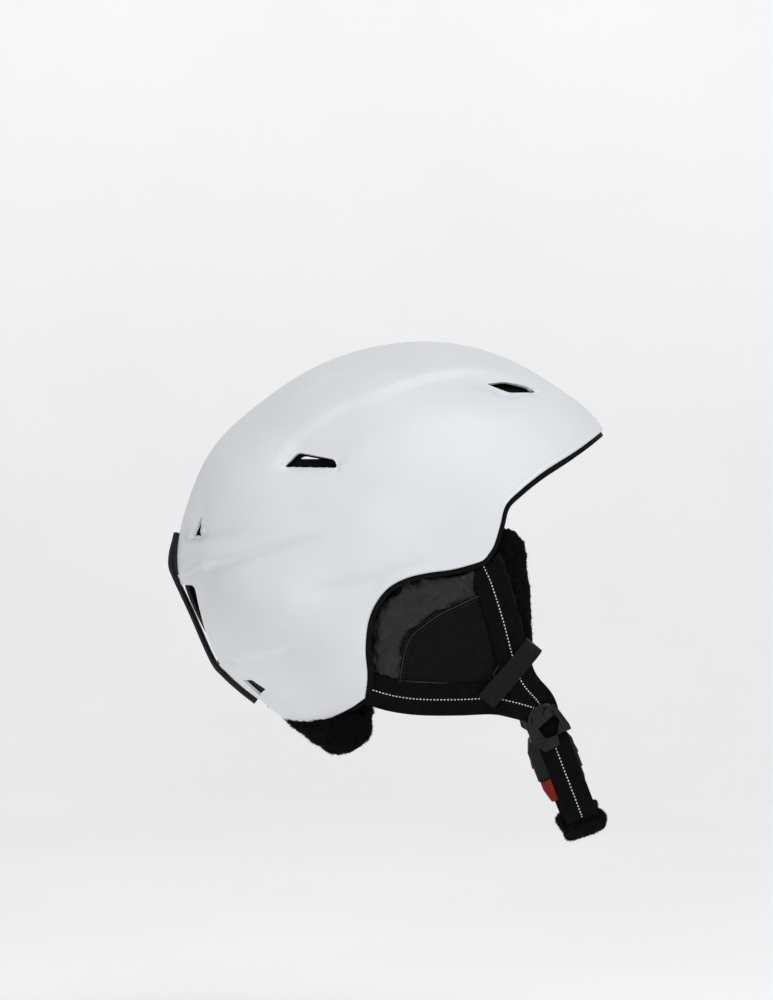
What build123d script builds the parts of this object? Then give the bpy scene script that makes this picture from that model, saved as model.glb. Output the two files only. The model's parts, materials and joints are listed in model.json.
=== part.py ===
from build123d import *
from math import cos, hypot, radians, sin
import os

# A ski helmet: a hard shell over a foam liner, soft ear pads, webbing harness with a
# side-release buckle, and a rubber retainer at the back that holds a goggle strap.
#
# Frame: millimetres, the origin at the centre of the head cavity, +X towards the face,
# +Y to the wearer's left and +Z up. Sub-parts with a twin are made on the right, at
# negative Y, and mirrored.

# Shell and foam
SHELL_HALF_WIDTH = 108.0
SHELL_THICKNESS = 2.5
FOAM_GAP = 3.2                     # between the shell and the foam, room for the shell's sculpted creases
FOAM_EDGE = 2.4                    # how far the foam shows below the shell's rim
DOME_POWER = 2.25                  # 2 is an ellipse across the head, more is squarer
EAR_POLE = (22.0, -52.0)           # X, Z of the point that the dome closes on at each side
STATIONS = (0.0, 0.18, 0.36, 0.53, 0.68, 0.80, 0.89, 0.95, 0.982, 0.995)

# The dome's outline on the middle plane, as X, Z. The part below the rim is cut away.
OUTLINE = (
    (138.5, 70.0), (130.5, 80.5), (111.8, 95.3), (87.0, 110.5), (57.8, 121.9),
    (25.4, 126.0), (-10.2, 121.9), (-50.2, 106.7), (-78.7, 87.6), (-109.9, 57.2),
    (-125.0, 24.0), (-131.4, -4.0), (-130.0, -26.0), (-123.5, -44.0), (-114.5, -62.0),
    (-103.5, -80.0), (-90.5, -92.0), (-64.0, -114.0), (-30.0, -140.0), (20.0, -150.0),
    (75.0, -135.0), (118.0, -90.0), (138.0, -20.0), (143.0, 35.0),
)

# The shell's rim seen from the side, from the tip of the brim round the ear to the nape.
BRIM_TIP = (138.6, 70.0)
RIM = (
    (120.0, 57.0), (99.0, 44.0), (84.0, 32.5), (74.0, 22.5), (70.3, 10.0), (66.5, -2.0),
    (58.0, -12.0), (42.0, -16.5), (26.0, -18.8), (13.0, -22.0), (2.0, -28.0),
    (-6.0, -38.0), (-10.5, -50.0), (-12.0, -66.0), (-11.0, -82.0), (-12.5, -96.0),
    (-24.0, -104.0), (-50.0, -117.5), (-72.0, -122.0),
)

# Head cavity, inside the comfort liner
HEAD_LENGTH, HEAD_WIDTH, HEAD_HEIGHT = 198.0, 158.0, 170.0
LINER_THICKNESS = 5.0
CAVITY_RISE = 5.0                  # the cavity's centre above the origin

# Harness
WEBBING_WIDTH = 20.0
WEBBING_THICKNESS = 1.6
LEG_TOP = (98.5, -110.5)           # X, Z of the divider's centre
LEG_LEAN = 21.0                    # degrees that the strap's legs slope forward
LEG_Y = 84.0                       # each leg's distance from the middle plane
LOOP_DROP = 73.0                   # from the divider's centre to the strap's lowest point

# Ear pads
PAD_TOP_Y = -100.0
PAD_TOP_Z = -15.0
PAD_LEAN = 5.7                     # degrees that the pad leans in towards the jaw
COVER_THICKNESS = 5.0
LINING_THICKNESS = 14.0

CLEARANCE = 0.35                   # between pieces that move past each other
REACH = 130.0                      # past the shell's side, for cutters


def side_plane(y):
    """A plane parallel to the middle plane, at y, with X right and Z up."""
    return Plane.XZ.offset(-y)


def save(part, name):
    part.label = name
    export_step(part, f"parts/{name}.step")


def dome(inset):
    """The closed form of the shell, all round, its skin moved in by inset."""
    stations = [-u for u in reversed(STATIONS[1:])] + list(STATIONS)
    with BuildPart() as form:
        for u in stations:
            size = (1 - abs(u) ** DOME_POWER) ** (1 / DOME_POWER)
            points = []
            for x, z in OUTLINE:
                from_pole = hypot(x - EAR_POLE[0], z - EAR_POLE[1])
                k = size * (from_pole - inset) / from_pole
                points.append((EAR_POLE[0] + k * (x - EAR_POLE[0]), EAR_POLE[1] + k * (z - EAR_POLE[1])))
            with BuildSketch(side_plane(u * (SHELL_HALF_WIDTH - inset))):
                with BuildLine():
                    Spline(*points, periodic=True)
                make_face()
        loft()
    return form.part


def above_rim(drop):
    """Everything above the rim line moved out by drop, as a prism through both sides."""
    with BuildPart() as prism:
        with BuildSketch(side_plane(0)):
            with BuildLine():
                rim = Spline(*RIM, mode=Mode.PRIVATE)
                count = 2 * len(RIM)
                moved = []
                for i in range(count + 1):
                    along = rim.tangent_at(i / count)
                    moved.append(rim.position_at(i / count) + drop * Vector(-along.Y, along.X, 0))
                Spline(*moved)
                nape, front = moved[-1], moved[0]
                tip = (BRIM_TIP[0], BRIM_TIP[1] - drop)
                Polyline(nape, (-160, nape.Y), (-160, 160), (160, 160), (160, 85), tip, front)
            make_face()
        extrude(amount=REACH, both=True)
    return prism.part


def nape_arch(rise):
    """The rounded gap at the middle of the back, over the wearer's neck."""
    with BuildPart() as arch:
        with BuildSketch(Plane.YZ.offset(-150)):
            with Locations((0, -130)):
                Ellipse(40, 24 + rise)
        extrude(amount=120)
    return arch.part


def band_face(points, thickness, **ends):
    """A flat band of even thickness along a smooth line through points, on its right."""
    with BuildSketch() as band:
        with BuildLine():
            near = Spline(*points, **ends)
            count = 4 * len(points)
            outer = []
            for i in range(count + 1):
                along = near.tangent_at(i / count)
                outer.append(near.position_at(i / count) + thickness * Vector(along.Y, -along.X, 0))
            far = Spline(*outer)
            Line(near @ 0, far @ 0)
            Line(near @ 1, far @ 1)
        make_face()
    return band.sketch_local


os.makedirs("parts", exist_ok=True)

# ---------------------------------------------------------------- vent and recess cutters

# Each outline is for the right side, seen along the direction it is cut in.
SIDE_VENT = ((-62.0, 45.6), (-53.5, 54.8), (-31.0, 50.5), (-29.0, 45.0))
FRONT_VENT = ((63.0, 97.6), (75.0, 99.0), (88.4, 96.4), (94.5, 92.4), (77.0, 91.9))
REAR_VENT = ((-45.0, 16.0), (-49.5, 3.0), (-40.0, 2.0))
LOW_VENT = ((-42.0, -88.0), (-50.0, -87.0), (-64.0, -94.0), (-55.0, -99.0))

with BuildPart() as vents:
    with BuildSketch(side_plane(-REACH)):
        Polygon(*SIDE_VENT, align=None)
        fillet(vertices(), 1.5)
    extrude(amount=-75)
    with BuildSketch(side_plane(-REACH)):
        Polygon(*FRONT_VENT, align=None)
        fillet(vertices(), 1.0)
    extrude(amount=-98)
    with BuildSketch(Plane.YZ.offset(-150)):
        Polygon(*REAR_VENT, align=None)
    extrude(amount=80)
    with BuildSketch(Plane.YZ.offset(-150)):
        Polygon(*LOW_VENT, align=None)
    extrude(amount=85)
    mirror(about=Plane.XZ)

with BuildPart() as recess_window:
    with BuildSketch(Plane.YZ.offset(-150)):
        Polygon((-27, -28), (27, -28), (24, -77), (-24, -77), align=None)
        fillet(vertices(), 6)
    extrude(amount=90)

RECESS_DEPTH = 12.0
with BuildPart() as recess_pocket:
    add(recess_window.part)
    add(dome(RECESS_DEPTH), mode=Mode.SUBTRACT)

# ---------------------------------------------------------------- hard shell

with BuildPart() as outer_shell:
    add(dome(0))
    add(dome(SHELL_THICKNESS), mode=Mode.SUBTRACT)
    add(above_rim(0), mode=Mode.INTERSECT)
    add(nape_arch(0), mode=Mode.SUBTRACT)
    add(vents.part, mode=Mode.SUBTRACT)
    add(recess_window.part, mode=Mode.SUBTRACT)

# ---------------------------------------------------------------- foam liner

FOAM_INSET = SHELL_THICKNESS + FOAM_GAP


def head_form(grow):
    """The head cavity moved out by grow: domed above, narrowing to the neck below."""
    half = (HEAD_LENGTH / 2 + grow, HEAD_WIDTH / 2 + grow, HEAD_HEIGHT / 2 + grow)
    # Height, centre's X, and length and width as fractions of the widest section
    sections = [(-150, 8, 0.74, 0.94), (-55, 2, 0.93, 0.99)]
    for rise in (0, 0.35, 0.65, 0.86, 0.96, 0.995):
        across = (1 - rise ** 2) ** 0.5
        sections.append((CAVITY_RISE + rise * half[2], 0, across, across))
    with BuildPart() as head:
        for height, centre, length, width in sections:
            with BuildSketch(Plane.XY.offset(height)):
                with Locations((centre, 0)):
                    Ellipse(half[0] * length, half[1] * width)
        loft()
    return head.part


foam_cavity = head_form(LINER_THICKNESS)
with BuildPart() as eps_liner:
    add(dome(FOAM_INSET))
    add(above_rim(FOAM_EDGE), mode=Mode.INTERSECT)
    add(nape_arch(-FOAM_EDGE), mode=Mode.SUBTRACT)
    add(foam_cavity, mode=Mode.SUBTRACT)
    add(vents.part, mode=Mode.SUBTRACT)
    add(recess_pocket.part, mode=Mode.SUBTRACT)

# ---------------------------------------------------------------- comfort pads inside

with BuildPart() as liner_skin:
    add(foam_cavity)
    add(head_form(0), mode=Mode.SUBTRACT)


def inner_pad(plane, length, width, corner, depth):
    """The piece of the liner skin that a rounded rectangle on plane cuts out."""
    with BuildPart() as pad:
        with BuildSketch(plane):
            RectangleRounded(length, width, corner)
        extrude(amount=depth)
        add(liner_skin.part, mode=Mode.INTERSECT)
    return pad.part


crown_pad = inner_pad(Plane.XY.offset(40), 120, 76, 34, 80)
brow_pad = inner_pad(Plane((30, 0, 56), x_dir=(0, 1, 0), z_dir=(1, 0, 0)), 124, 22, 9, 100)
rear_pad = inner_pad(Plane((-30, 0, -22), x_dir=(0, -1, 0), z_dir=(-1, 0, 0)), 92, 84, 22, 100)
side_pad_right = inner_pad(Plane((0, -30, 26), x_dir=(1, 0, 0), z_dir=(0, -1, 0)), 110, 34, 14, 100)

# ---------------------------------------------------------------- vent grilles

GRILLE_INSET = 3.0
GRILLE_THICKNESS = 1.4
with BuildPart() as vent_grilles:
    add(dome(GRILLE_INSET))
    add(dome(GRILLE_INSET + GRILLE_THICKNESS), mode=Mode.SUBTRACT)
    with BuildSketch(Plane.YZ.offset(-150)) as grille_outline:
        Polygon(*LOW_VENT, align=None)
        mirror(about=Plane.YZ)
    extrude(amount=85, mode=Mode.INTERSECT)
    with BuildSketch(Plane.YZ.offset(-150)):
        for y in (-53, 53):
            with Locations((y, -93)):
                with GridLocations(4, 4, 4, 2):
                    Circle(1.2)
    extrude(amount=85, mode=Mode.SUBTRACT)

# ---------------------------------------------------------------- goggle retainer

BAND_HALF_WIDTH = 12.0
BAND_THICKNESS = 2.6
BAND_ANCHOR = ((-133.4, 5.0), (-134.8, -1.0), (-136.4, -7.5))
BAND = (
    (-136.8, -9.6), (-136.9, -16.0), (-134.2, -24.0), (-124.0, -46.0), (-110.5, -78.0),
    (-103.0, -88.5), (-92.0, -98.5), (-82.0, -106.0),
)
SNAP_AT = (-94.6, -95.2)           # where the band's lower end snaps on
SNAP_ANGLE = 48.0                  # the snap's axis, below the rearward direction

snap_out = (-cos(radians(SNAP_ANGLE)), 0, -sin(radians(SNAP_ANGLE)))


def snap_plane(out):
    origin = (SNAP_AT[0] + out * snap_out[0], 0, SNAP_AT[1] + out * snap_out[2])
    return Plane(origin, x_dir=(0, 1, 0), z_dir=snap_out)


with BuildPart() as goggle_band_anchor:
    with BuildSketch(side_plane(0)):
        add(band_face(BAND_ANCHOR, -BAND_THICKNESS))
    extrude(amount=BAND_HALF_WIDTH, both=True)
    add(outer_shell.part, mode=Mode.SUBTRACT)

with BuildPart() as snap_stud:
    with BuildSketch(snap_plane(-0.6)):
        Circle(4.0)
    extrude(amount=3.6)
    add(outer_shell.part, mode=Mode.SUBTRACT)

with BuildPart() as goggle_band:
    with BuildSketch(side_plane(0)):
        add(band_face(BAND, -BAND_THICKNESS))
    extrude(amount=BAND_HALF_WIDTH, both=True)
    add(dome(-CLEARANCE), mode=Mode.SUBTRACT)
    with BuildSketch(snap_plane(-3)):
        Circle(4.0 + CLEARANCE)
    extrude(amount=6 + CLEARANCE, mode=Mode.SUBTRACT)

# The cap closes the band's hole over the stud.
with BuildPart() as snap_cap:
    with BuildSketch(snap_plane(3.0 + 2 * CLEARANCE)):
        Circle(6.0)
    extrude(amount=1.2, taper=15)
    add(goggle_band.part, mode=Mode.SUBTRACT)

# ---------------------------------------------------------------- ear pads

pad_out = (0, -cos(radians(PAD_LEAN)), -sin(radians(PAD_LEAN)))


def pad_plane(out):
    """The plane of the right ear pad's outer face, moved out, with X right and up the pad."""
    origin = (0, PAD_TOP_Y + out * pad_out[1], PAD_TOP_Z + out * pad_out[2])
    return Plane(origin, x_dir=(1, 0, 0), z_dir=pad_out)


def on_pad(points):
    return [(x, (z - PAD_TOP_Z) / cos(radians(PAD_LEAN))) for x, z in points]


PAD_COVER = (
    (-9.0, -32.0), (12.0, -14.0), (72.0, -4.0), (79.5, -29.0), (87.0, -54.0), (88.5, -76.0),
    (79.0, -108.0), (60.0, -103.0), (36.0, -105.5), (-10.0, -101.0),
)
PAD_LINING = (
    (-6.0, -32.0), (12.0, -14.0), (68.0, 6.0), (80.0, 8.0), (88.0, -3.0), (91.0, -40.0),
    (91.5, -66.0), (82.0, -98.0), (60.0, -101.0), (-6.0, -99.0),
)
rim_room = above_rim(FOAM_EDGE + 0.4)


def pad_layer(outline, depth, thickness, corner):
    with BuildPart() as layer:
        with BuildSketch(pad_plane(-depth)):
            Polygon(*on_pad(outline), align=None)
            fillet(vertices(), corner)
        extrude(amount=-thickness)
        add(rim_room, mode=Mode.SUBTRACT)
    return layer.part


ear_pad_cover_right = pad_layer(PAD_COVER, 0, COVER_THICKNESS, 3.0)
ear_pad_lining_right = pad_layer(PAD_LINING, COVER_THICKNESS, LINING_THICKNESS, 3.0)

# ---------------------------------------------------------------- harness directions

strap_down = Vector(sin(radians(LEG_LEAN)), 0, -cos(radians(LEG_LEAN)))
strap_across = Vector(cos(radians(LEG_LEAN)), 0, sin(radians(LEG_LEAN)))


def leg_side(y):
    """Plane across a leg at y: right is the webbing's width forward, up is up the leg."""
    return Plane((LEG_TOP[0], y, LEG_TOP[1]), x_dir=strap_across, z_dir=(0, -1, 0))


loop_plane = Plane((LEG_TOP[0], 0, LEG_TOP[1]), x_dir=(0, 1, 0), z_dir=strap_across)


def along_leg(down, y, across=0.0):
    point = Vector(LEG_TOP[0], y, LEG_TOP[1]) + down * strap_down + across * strap_across
    return (point.X, point.Y, point.Z)


def webbing(points):
    """Flat webbing through points, each (X, Y, Z), lying flat against the ear pad."""
    stops = [Vector(*point) for point in points]
    with BuildPart() as strap:
        for i, stop in enumerate(stops):
            before = stops[max(i - 1, 0)]
            after = stops[min(i + 1, len(stops) - 1)]
            along = (after - before).normalized()
            across = along.cross(Vector(*pad_out)).normalized()
            with BuildSketch(Plane(stop, x_dir=across, z_dir=along)):
                Rectangle(WEBBING_WIDTH, WEBBING_THICKNESS)
        loft()
    return strap.part


def over_pad(x, z, lift):
    """A point lift above the ear pad's outer face."""
    up = (z - PAD_TOP_Z) / cos(radians(PAD_LEAN))
    return (x, PAD_TOP_Y - up * sin(radians(PAD_LEAN)) + lift * pad_out[1], z)


# ---------------------------------------------------------------- straps over the ear pads

FIRST_LAYER = 0.1 + WEBBING_THICKNESS / 2
SECOND_LAYER = FIRST_LAYER + WEBBING_THICKNESS + 0.15
rear_strap_right = webbing((
    over_pad(-7, -90.5, FIRST_LAYER), over_pad(6, -94, FIRST_LAYER), over_pad(22, -96, FIRST_LAYER),
    over_pad(44, -96.2, FIRST_LAYER), over_pad(66, -95.5, FIRST_LAYER), over_pad(77, -98, FIRST_LAYER),
))
front_strap_right = webbing((
    over_pad(61, -15.5, FIRST_LAYER), over_pad(65, -26, FIRST_LAYER), over_pad(72, -48, FIRST_LAYER),
    over_pad(78.5, -72, SECOND_LAYER + 0.6), over_pad(84, -86, SECOND_LAYER + 0.6), along_leg(-13.2, -LEG_Y - 4.2),
))

with BuildPart() as front_strap_clear:
    add(front_strap_right)
    add(rim_room, mode=Mode.SUBTRACT)
    add(ear_pad_cover_right, mode=Mode.SUBTRACT)
    add(ear_pad_lining_right, mode=Mode.SUBTRACT)
front_strap_right = front_strap_clear.part

with BuildPart() as rear_strap_clear:
    add(rear_strap_right)
    add(rim_room, mode=Mode.SUBTRACT)
    add(front_strap_right, mode=Mode.SUBTRACT)
    add(ear_pad_cover_right, mode=Mode.SUBTRACT)
rear_strap_right = rear_strap_clear.part

# ---------------------------------------------------------------- elastic loop on the pad's corner

LOOP_TOP = (92.0, -59.0)
LOOP_FOOT = (62.0, -105.0)
LOOP_WIDTH = 15.0
LOOP_LIFT = 5.4
LOOP_THICKNESS = 1.2
loop_run = Vector(LOOP_FOOT[0] - LOOP_TOP[0], LOOP_FOOT[1] - LOOP_TOP[1], 0)
loop_side = Vector(-loop_run.Y, loop_run.X, 0).normalized() * (LOOP_WIDTH / 2)


def loop_strip(start, end):
    """The loop's outline between two fractions of its run."""
    top = Vector(LOOP_TOP[0], LOOP_TOP[1], 0)
    corners = (top + start * loop_run - loop_side, top + start * loop_run + loop_side,
               top + end * loop_run + loop_side, top + end * loop_run - loop_side)
    return on_pad([(corner.X, corner.Y) for corner in corners])


with BuildPart() as loop_band_right:
    with BuildSketch(pad_plane(LOOP_LIFT)):
        Polygon(*loop_strip(0.0, 1.0), align=None)
    extrude(amount=LOOP_THICKNESS)
    with BuildSketch(pad_plane(LOOP_LIFT)):
        Polygon(*loop_strip(0.0, 0.025), align=None)
        Polygon(*loop_strip(0.975, 1.0), align=None)
    extrude(amount=-LOOP_LIFT - 1.0)
    add(ear_pad_cover_right, mode=Mode.SUBTRACT)
    add(front_strap_right, mode=Mode.SUBTRACT)
    add(rear_strap_right, mode=Mode.SUBTRACT)

# ---------------------------------------------------------------- strap divider

DIVIDER_THICKNESS = 8.4
SLOT_THICKNESS = WEBBING_THICKNESS + 2 * CLEARANCE + 0.3
SLOT_WIDTH = WEBBING_WIDTH + 2 * CLEARANCE + 0.3
with BuildPart() as divider_right:
    with BuildSketch(leg_side(-LEG_Y - DIVIDER_THICKNESS / 2)):
        Polygon((-13, 7), (-5, 13.2), (4, 13.2), (8, 10), (10.5, 3), (13, -6), (13.2, -9.5),
                (4, -9.5), (3, -16), (-7, -17), (-13.2, -9), (-12.5, -4), align=None)
        fillet(vertices(), 1.2)
    extrude(amount=-DIVIDER_THICKNESS)
    with BuildSketch(Plane(along_leg(-20, -LEG_Y), x_dir=strap_across, z_dir=strap_down)):
        Rectangle(SLOT_WIDTH, SLOT_THICKNESS)
    extrude(amount=60, mode=Mode.SUBTRACT)
    with BuildSketch(leg_side(-LEG_Y - 10)):
        Polygon((-6, -2), (6.5, 2.6), (8, -2), (4, -9.7), (-4, -9.7), align=None)
        fillet(vertices(), 1.5)
    extrude(amount=-10, mode=Mode.SUBTRACT)
    add(front_strap_right, mode=Mode.SUBTRACT)
    add(ear_pad_lining_right, mode=Mode.SUBTRACT)

# ---------------------------------------------------------------- buckle

# Lengths down the leg from the divider's centre
HOUSING_TOP = 17.0
HOUSING_MOUTH = 47.0
PLUG_END = 62.5
HOUSING_WIDTH = 31.0
HOUSING_THICKNESS = 10.4
CAVITY_WIDTH = 24.6
CAVITY_THICKNESS = 6.4
PRONG_THICKNESS = 5.2
WINDOW = (28.0, 39.0)                      # the side windows' ends, down the leg

with BuildPart() as buckle_housing:
    with BuildSketch(leg_side(LEG_Y + HOUSING_THICKNESS / 2)):
        Polygon((-11.5, -HOUSING_TOP), (11.5, -HOUSING_TOP), (15.5, -HOUSING_TOP - 10),
                (15.5, -HOUSING_MOUTH), (-15.5, -HOUSING_MOUTH), (-15.5, -HOUSING_TOP - 10), align=None)
        fillet(vertices().group_by(Axis.Y)[-1], 2.5)
    extrude(amount=HOUSING_THICKNESS)
    fillet(edges().filter_by(Axis.Y, reverse=True).group_by(Axis.Y)[0], 1.4)
    fillet(edges().filter_by(Axis.Y, reverse=True).group_by(Axis.Y)[-1], 1.4)
    # The hollow that the plug goes into, open at the mouth
    with BuildSketch(Plane(along_leg(HOUSING_MOUTH + 1, LEG_Y), x_dir=strap_across, z_dir=-strap_down)):
        Rectangle(CAVITY_WIDTH, CAVITY_THICKNESS)
    extrude(amount=HOUSING_MOUTH - WINDOW[0] + 2, mode=Mode.SUBTRACT)
    # Side windows
    with BuildSketch(leg_side(LEG_Y + CAVITY_THICKNESS / 2)):
        with Locations((0, -(WINDOW[0] + WINDOW[1]) / 2)):
            Rectangle(HOUSING_WIDTH + 4, WINDOW[1] - WINDOW[0])
    extrude(amount=CAVITY_THICKNESS, mode=Mode.SUBTRACT)
    # Webbing slot at the top
    with BuildSketch(Plane(along_leg(HOUSING_TOP - 2, LEG_Y), x_dir=strap_across, z_dir=strap_down)):
        Rectangle(SLOT_WIDTH, SLOT_THICKNESS)
    extrude(amount=7.0, mode=Mode.SUBTRACT)

with BuildPart() as buckle_plug:
    with BuildSketch(leg_side(LEG_Y + 4.2)):
        Polygon((-14.5, -HOUSING_MOUTH - CLEARANCE), (14.5, -HOUSING_MOUTH - CLEARANCE), (14.5, -HOUSING_MOUTH - 6),
                (12.0, -PLUG_END), (-12.0, -PLUG_END), (-14.5, -HOUSING_MOUTH - 6), align=None)
        fillet(vertices().group_by(Axis.Y)[0], 2.0)
    extrude(amount=8.4)
    fillet(edges().filter_by(Axis.Y, reverse=True).group_by(Axis.Y)[0], 1.2)
    fillet(edges().filter_by(Axis.Y, reverse=True).group_by(Axis.Y)[-1], 1.2)
    # Centre tongue
    with BuildSketch(leg_side(LEG_Y + 1.6)):
        with Locations((0, -(HOUSING_MOUTH - 8))):
            Rectangle(5.0, 17.0)
    extrude(amount=3.2)
    # Webbing slot from below
    with BuildSketch(Plane(along_leg(PLUG_END + 2, LEG_Y), x_dir=strap_across, z_dir=-strap_down)):
        Rectangle(SLOT_WIDTH, SLOT_THICKNESS)
    extrude(amount=8.0, mode=Mode.SUBTRACT)
    # Room for the prongs' roots
    with BuildSketch(leg_side(LEG_Y + 3.0)):
        with Locations((-9.0, -HOUSING_MOUTH), (9.0, -HOUSING_MOUTH)):
            Rectangle(5.6, 3.2)
    extrude(amount=6.0, mode=Mode.SUBTRACT)


def prong(side):
    """One springy arm of the plug: side is 1 for the front one and -1 for the rear one."""
    with BuildPart() as arm:
        with BuildSketch(leg_side(LEG_Y + PRONG_THICKNESS / 2)):
            Polygon((side * 7.0, -HOUSING_MOUTH - 1.2), (side * 11.0, -HOUSING_MOUTH - 1.2),
                    (side * 11.7, -WINDOW[1] + 0.6), (side * 16.4, -WINDOW[1] + 1.6),
                    (side * 15.8, -WINDOW[0] - 4.5), (side * 10.5, -WINDOW[0] - 1.2),
                    (side * 7.6, -WINDOW[0] - 3.5), align=None)
            fillet(vertices(), 0.5)
        extrude(amount=PRONG_THICKNESS)
    return arm.part


# ---------------------------------------------------------------- chin strap

# The strap's line in the loop plane, from inside the right divider round to the plug
RIGHT_TOP = -10.0
STRAP_LINE = (
    (-LEG_Y, -RIGHT_TOP), (-LEG_Y, -22.0), (-LEG_Y, -48.0), (-LEG_Y + 5.5, -62.5), (-LEG_Y + 28, -LOOP_DROP + 2.2),
    (0, -LOOP_DROP), (LEG_Y - 28, -LOOP_DROP + 1.4), (LEG_Y - 5.5, -LOOP_DROP + 4.4), (LEG_Y, -PLUG_END - 0.5),
    (LEG_Y, -PLUG_END + 4.5),
)
strap_ends = {"tangents": [(0, -1), (0, 1)]}


def loop_face(thickness, line=STRAP_LINE, ends=strap_ends):
    """The chin strap's thickness along its line, centred on it."""
    with BuildSketch() as both_sides:
        add(band_face(line, thickness / 2, **ends))
        add(band_face(line, -thickness / 2, **ends))
    return both_sides.sketch_local


with BuildPart() as chin_strap:
    with BuildSketch(loop_plane):
        add(loop_face(WEBBING_THICKNESS))
    extrude(amount=WEBBING_WIDTH / 2, both=True)

# The short webbing that holds the buckle's housing under the left divider
with BuildPart() as buckle_webbing:
    with BuildSketch(Plane(along_leg(RIGHT_TOP, LEG_Y), x_dir=strap_across, z_dir=strap_down)):
        Rectangle(WEBBING_WIDTH, WEBBING_THICKNESS)
    extrude(amount=HOUSING_TOP + 4.0 - RIGHT_TOP)

# Padded sleeve over the bottom of the loop
PAD_SLEEVE_THICKNESS = 8.0
PAD_SLEEVE_WIDTH = 30.0
with BuildPart() as chin_pad:
    with BuildSketch(loop_plane):
        add(loop_face(PAD_SLEEVE_THICKNESS, STRAP_LINE[3:7], {}))
    extrude(amount=PAD_SLEEVE_WIDTH / 2, both=True)
    fillet(edges().filter_by(GeomType.LINE), 3.0)
    with BuildSketch(loop_plane):
        add(loop_face(WEBBING_THICKNESS + 0.4))
    extrude(amount=WEBBING_WIDTH / 2 + 0.3, both=True, mode=Mode.SUBTRACT)

# ---------------------------------------------------------------- neck roll

ROLL_HALF = (8.0, 15.0)            # half its thickness and half its height
ROLL_LINE = (
    (-15, 84, -108), (-28, 77, -118.5), (-46, 63, -113.5), (-60, 43, -104), (-68, 22, -98), (-71, 0, -96),
)
roll_stops = [Vector(x, -y, z) for x, y, z in ROLL_LINE] + [Vector(*stop) for stop in ROLL_LINE[-2::-1]]
with BuildPart() as neck_roll:
    for i, stop in enumerate(roll_stops):
        along = (roll_stops[min(i + 1, len(roll_stops) - 1)] - roll_stops[max(i - 1, 0)]).normalized()
        outward = along.cross(Vector(0, 0, 1)).normalized()
        with BuildSketch(Plane(stop, x_dir=outward, z_dir=along)):
            Ellipse(*ROLL_HALF)
    loft()
    add(outer_shell.part, mode=Mode.SUBTRACT)
    add(eps_liner.part, mode=Mode.SUBTRACT)

# ---------------------------------------------------------------- files


def left_of(part):
    """The mirror image of a right-hand piece."""
    with BuildPart() as twin:
        add(part)
        mirror(about=Plane.XZ, mode=Mode.REPLACE)
    return twin.part


singles = {
    "outer_shell": outer_shell.part, "eps_liner": eps_liner.part, "crown_pad": crown_pad,
    "brow_pad": brow_pad, "rear_pad": rear_pad, "vent_grilles": vent_grilles.part,
    "neck_roll": neck_roll.part, "goggle_band_anchor": goggle_band_anchor.part,
    "goggle_band": goggle_band.part, "snap_stud": snap_stud.part, "snap_cap": snap_cap.part,
    "buckle_webbing": buckle_webbing.part, "buckle_housing": buckle_housing.part,
    "buckle_plug": buckle_plug.part, "prong_front": prong(1), "prong_rear": prong(-1),
    "chin_strap": chin_strap.part, "chin_pad": chin_pad.part,
}
pairs = {
    "side_pad": side_pad_right, "ear_pad_cover": ear_pad_cover_right,
    "ear_pad_lining": ear_pad_lining_right, "front_strap": front_strap_right,
    "rear_strap": rear_strap_right, "loop_band": loop_band_right.part,
    "divider": divider_right.part,
}
for name, part in singles.items():
    save(part, name)
for name, part in pairs.items():
    save(part, f"{name}_right")
    save(left_of(part), f"{name}_left")
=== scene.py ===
# %% [markdown]
# # A white ski helmet
# A ski helmet is a thin hard shell over a thick foam liner. Soft ear pads hang at the sides, webbing
# straps run over them to a buckle under the chin, and a rubber band at the back holds a goggle strap.
# The CAD model gives every piece's place and size. This lesson gives each piece its looks.

# %% Load the fixed frame
import json
from math import asin, cos, hypot, pi, radians, sin

import bmesh
import bpy
import numpy as np
from mathutils import Matrix, Vector, noise


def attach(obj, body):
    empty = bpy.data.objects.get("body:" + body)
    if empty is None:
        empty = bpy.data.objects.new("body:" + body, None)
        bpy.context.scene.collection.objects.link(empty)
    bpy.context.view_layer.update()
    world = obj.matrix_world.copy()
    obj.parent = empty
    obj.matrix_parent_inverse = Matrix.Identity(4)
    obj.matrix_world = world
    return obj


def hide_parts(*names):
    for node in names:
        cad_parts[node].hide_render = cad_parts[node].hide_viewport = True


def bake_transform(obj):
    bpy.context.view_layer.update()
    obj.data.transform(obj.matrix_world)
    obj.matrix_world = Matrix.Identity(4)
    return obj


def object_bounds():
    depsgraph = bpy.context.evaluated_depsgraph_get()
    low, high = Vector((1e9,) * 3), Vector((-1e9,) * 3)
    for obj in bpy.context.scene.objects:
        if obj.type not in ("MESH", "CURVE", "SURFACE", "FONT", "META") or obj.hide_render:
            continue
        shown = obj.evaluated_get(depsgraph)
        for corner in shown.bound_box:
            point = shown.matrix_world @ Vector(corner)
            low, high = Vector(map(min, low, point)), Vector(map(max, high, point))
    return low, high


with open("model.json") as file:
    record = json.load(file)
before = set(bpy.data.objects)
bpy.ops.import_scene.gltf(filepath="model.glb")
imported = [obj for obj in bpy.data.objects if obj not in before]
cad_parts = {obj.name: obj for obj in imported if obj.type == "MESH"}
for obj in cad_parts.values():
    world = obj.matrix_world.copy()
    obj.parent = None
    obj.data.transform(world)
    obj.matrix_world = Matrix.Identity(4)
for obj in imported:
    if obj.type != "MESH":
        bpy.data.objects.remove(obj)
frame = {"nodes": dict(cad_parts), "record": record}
cad_box = [list(corner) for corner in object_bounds()]
nodes = frame["nodes"]
MM = 0.001
print("CAD box in mm:", [[round(v / MM, 1) for v in corner] for corner in cad_box])

# %% [markdown]
# ## Small helpers
# Operators act on whatever is selected, so each step starts by choosing just one object. Colours are
# written as the hex values that a paint program shows, and one function turns them to linear light.

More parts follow.
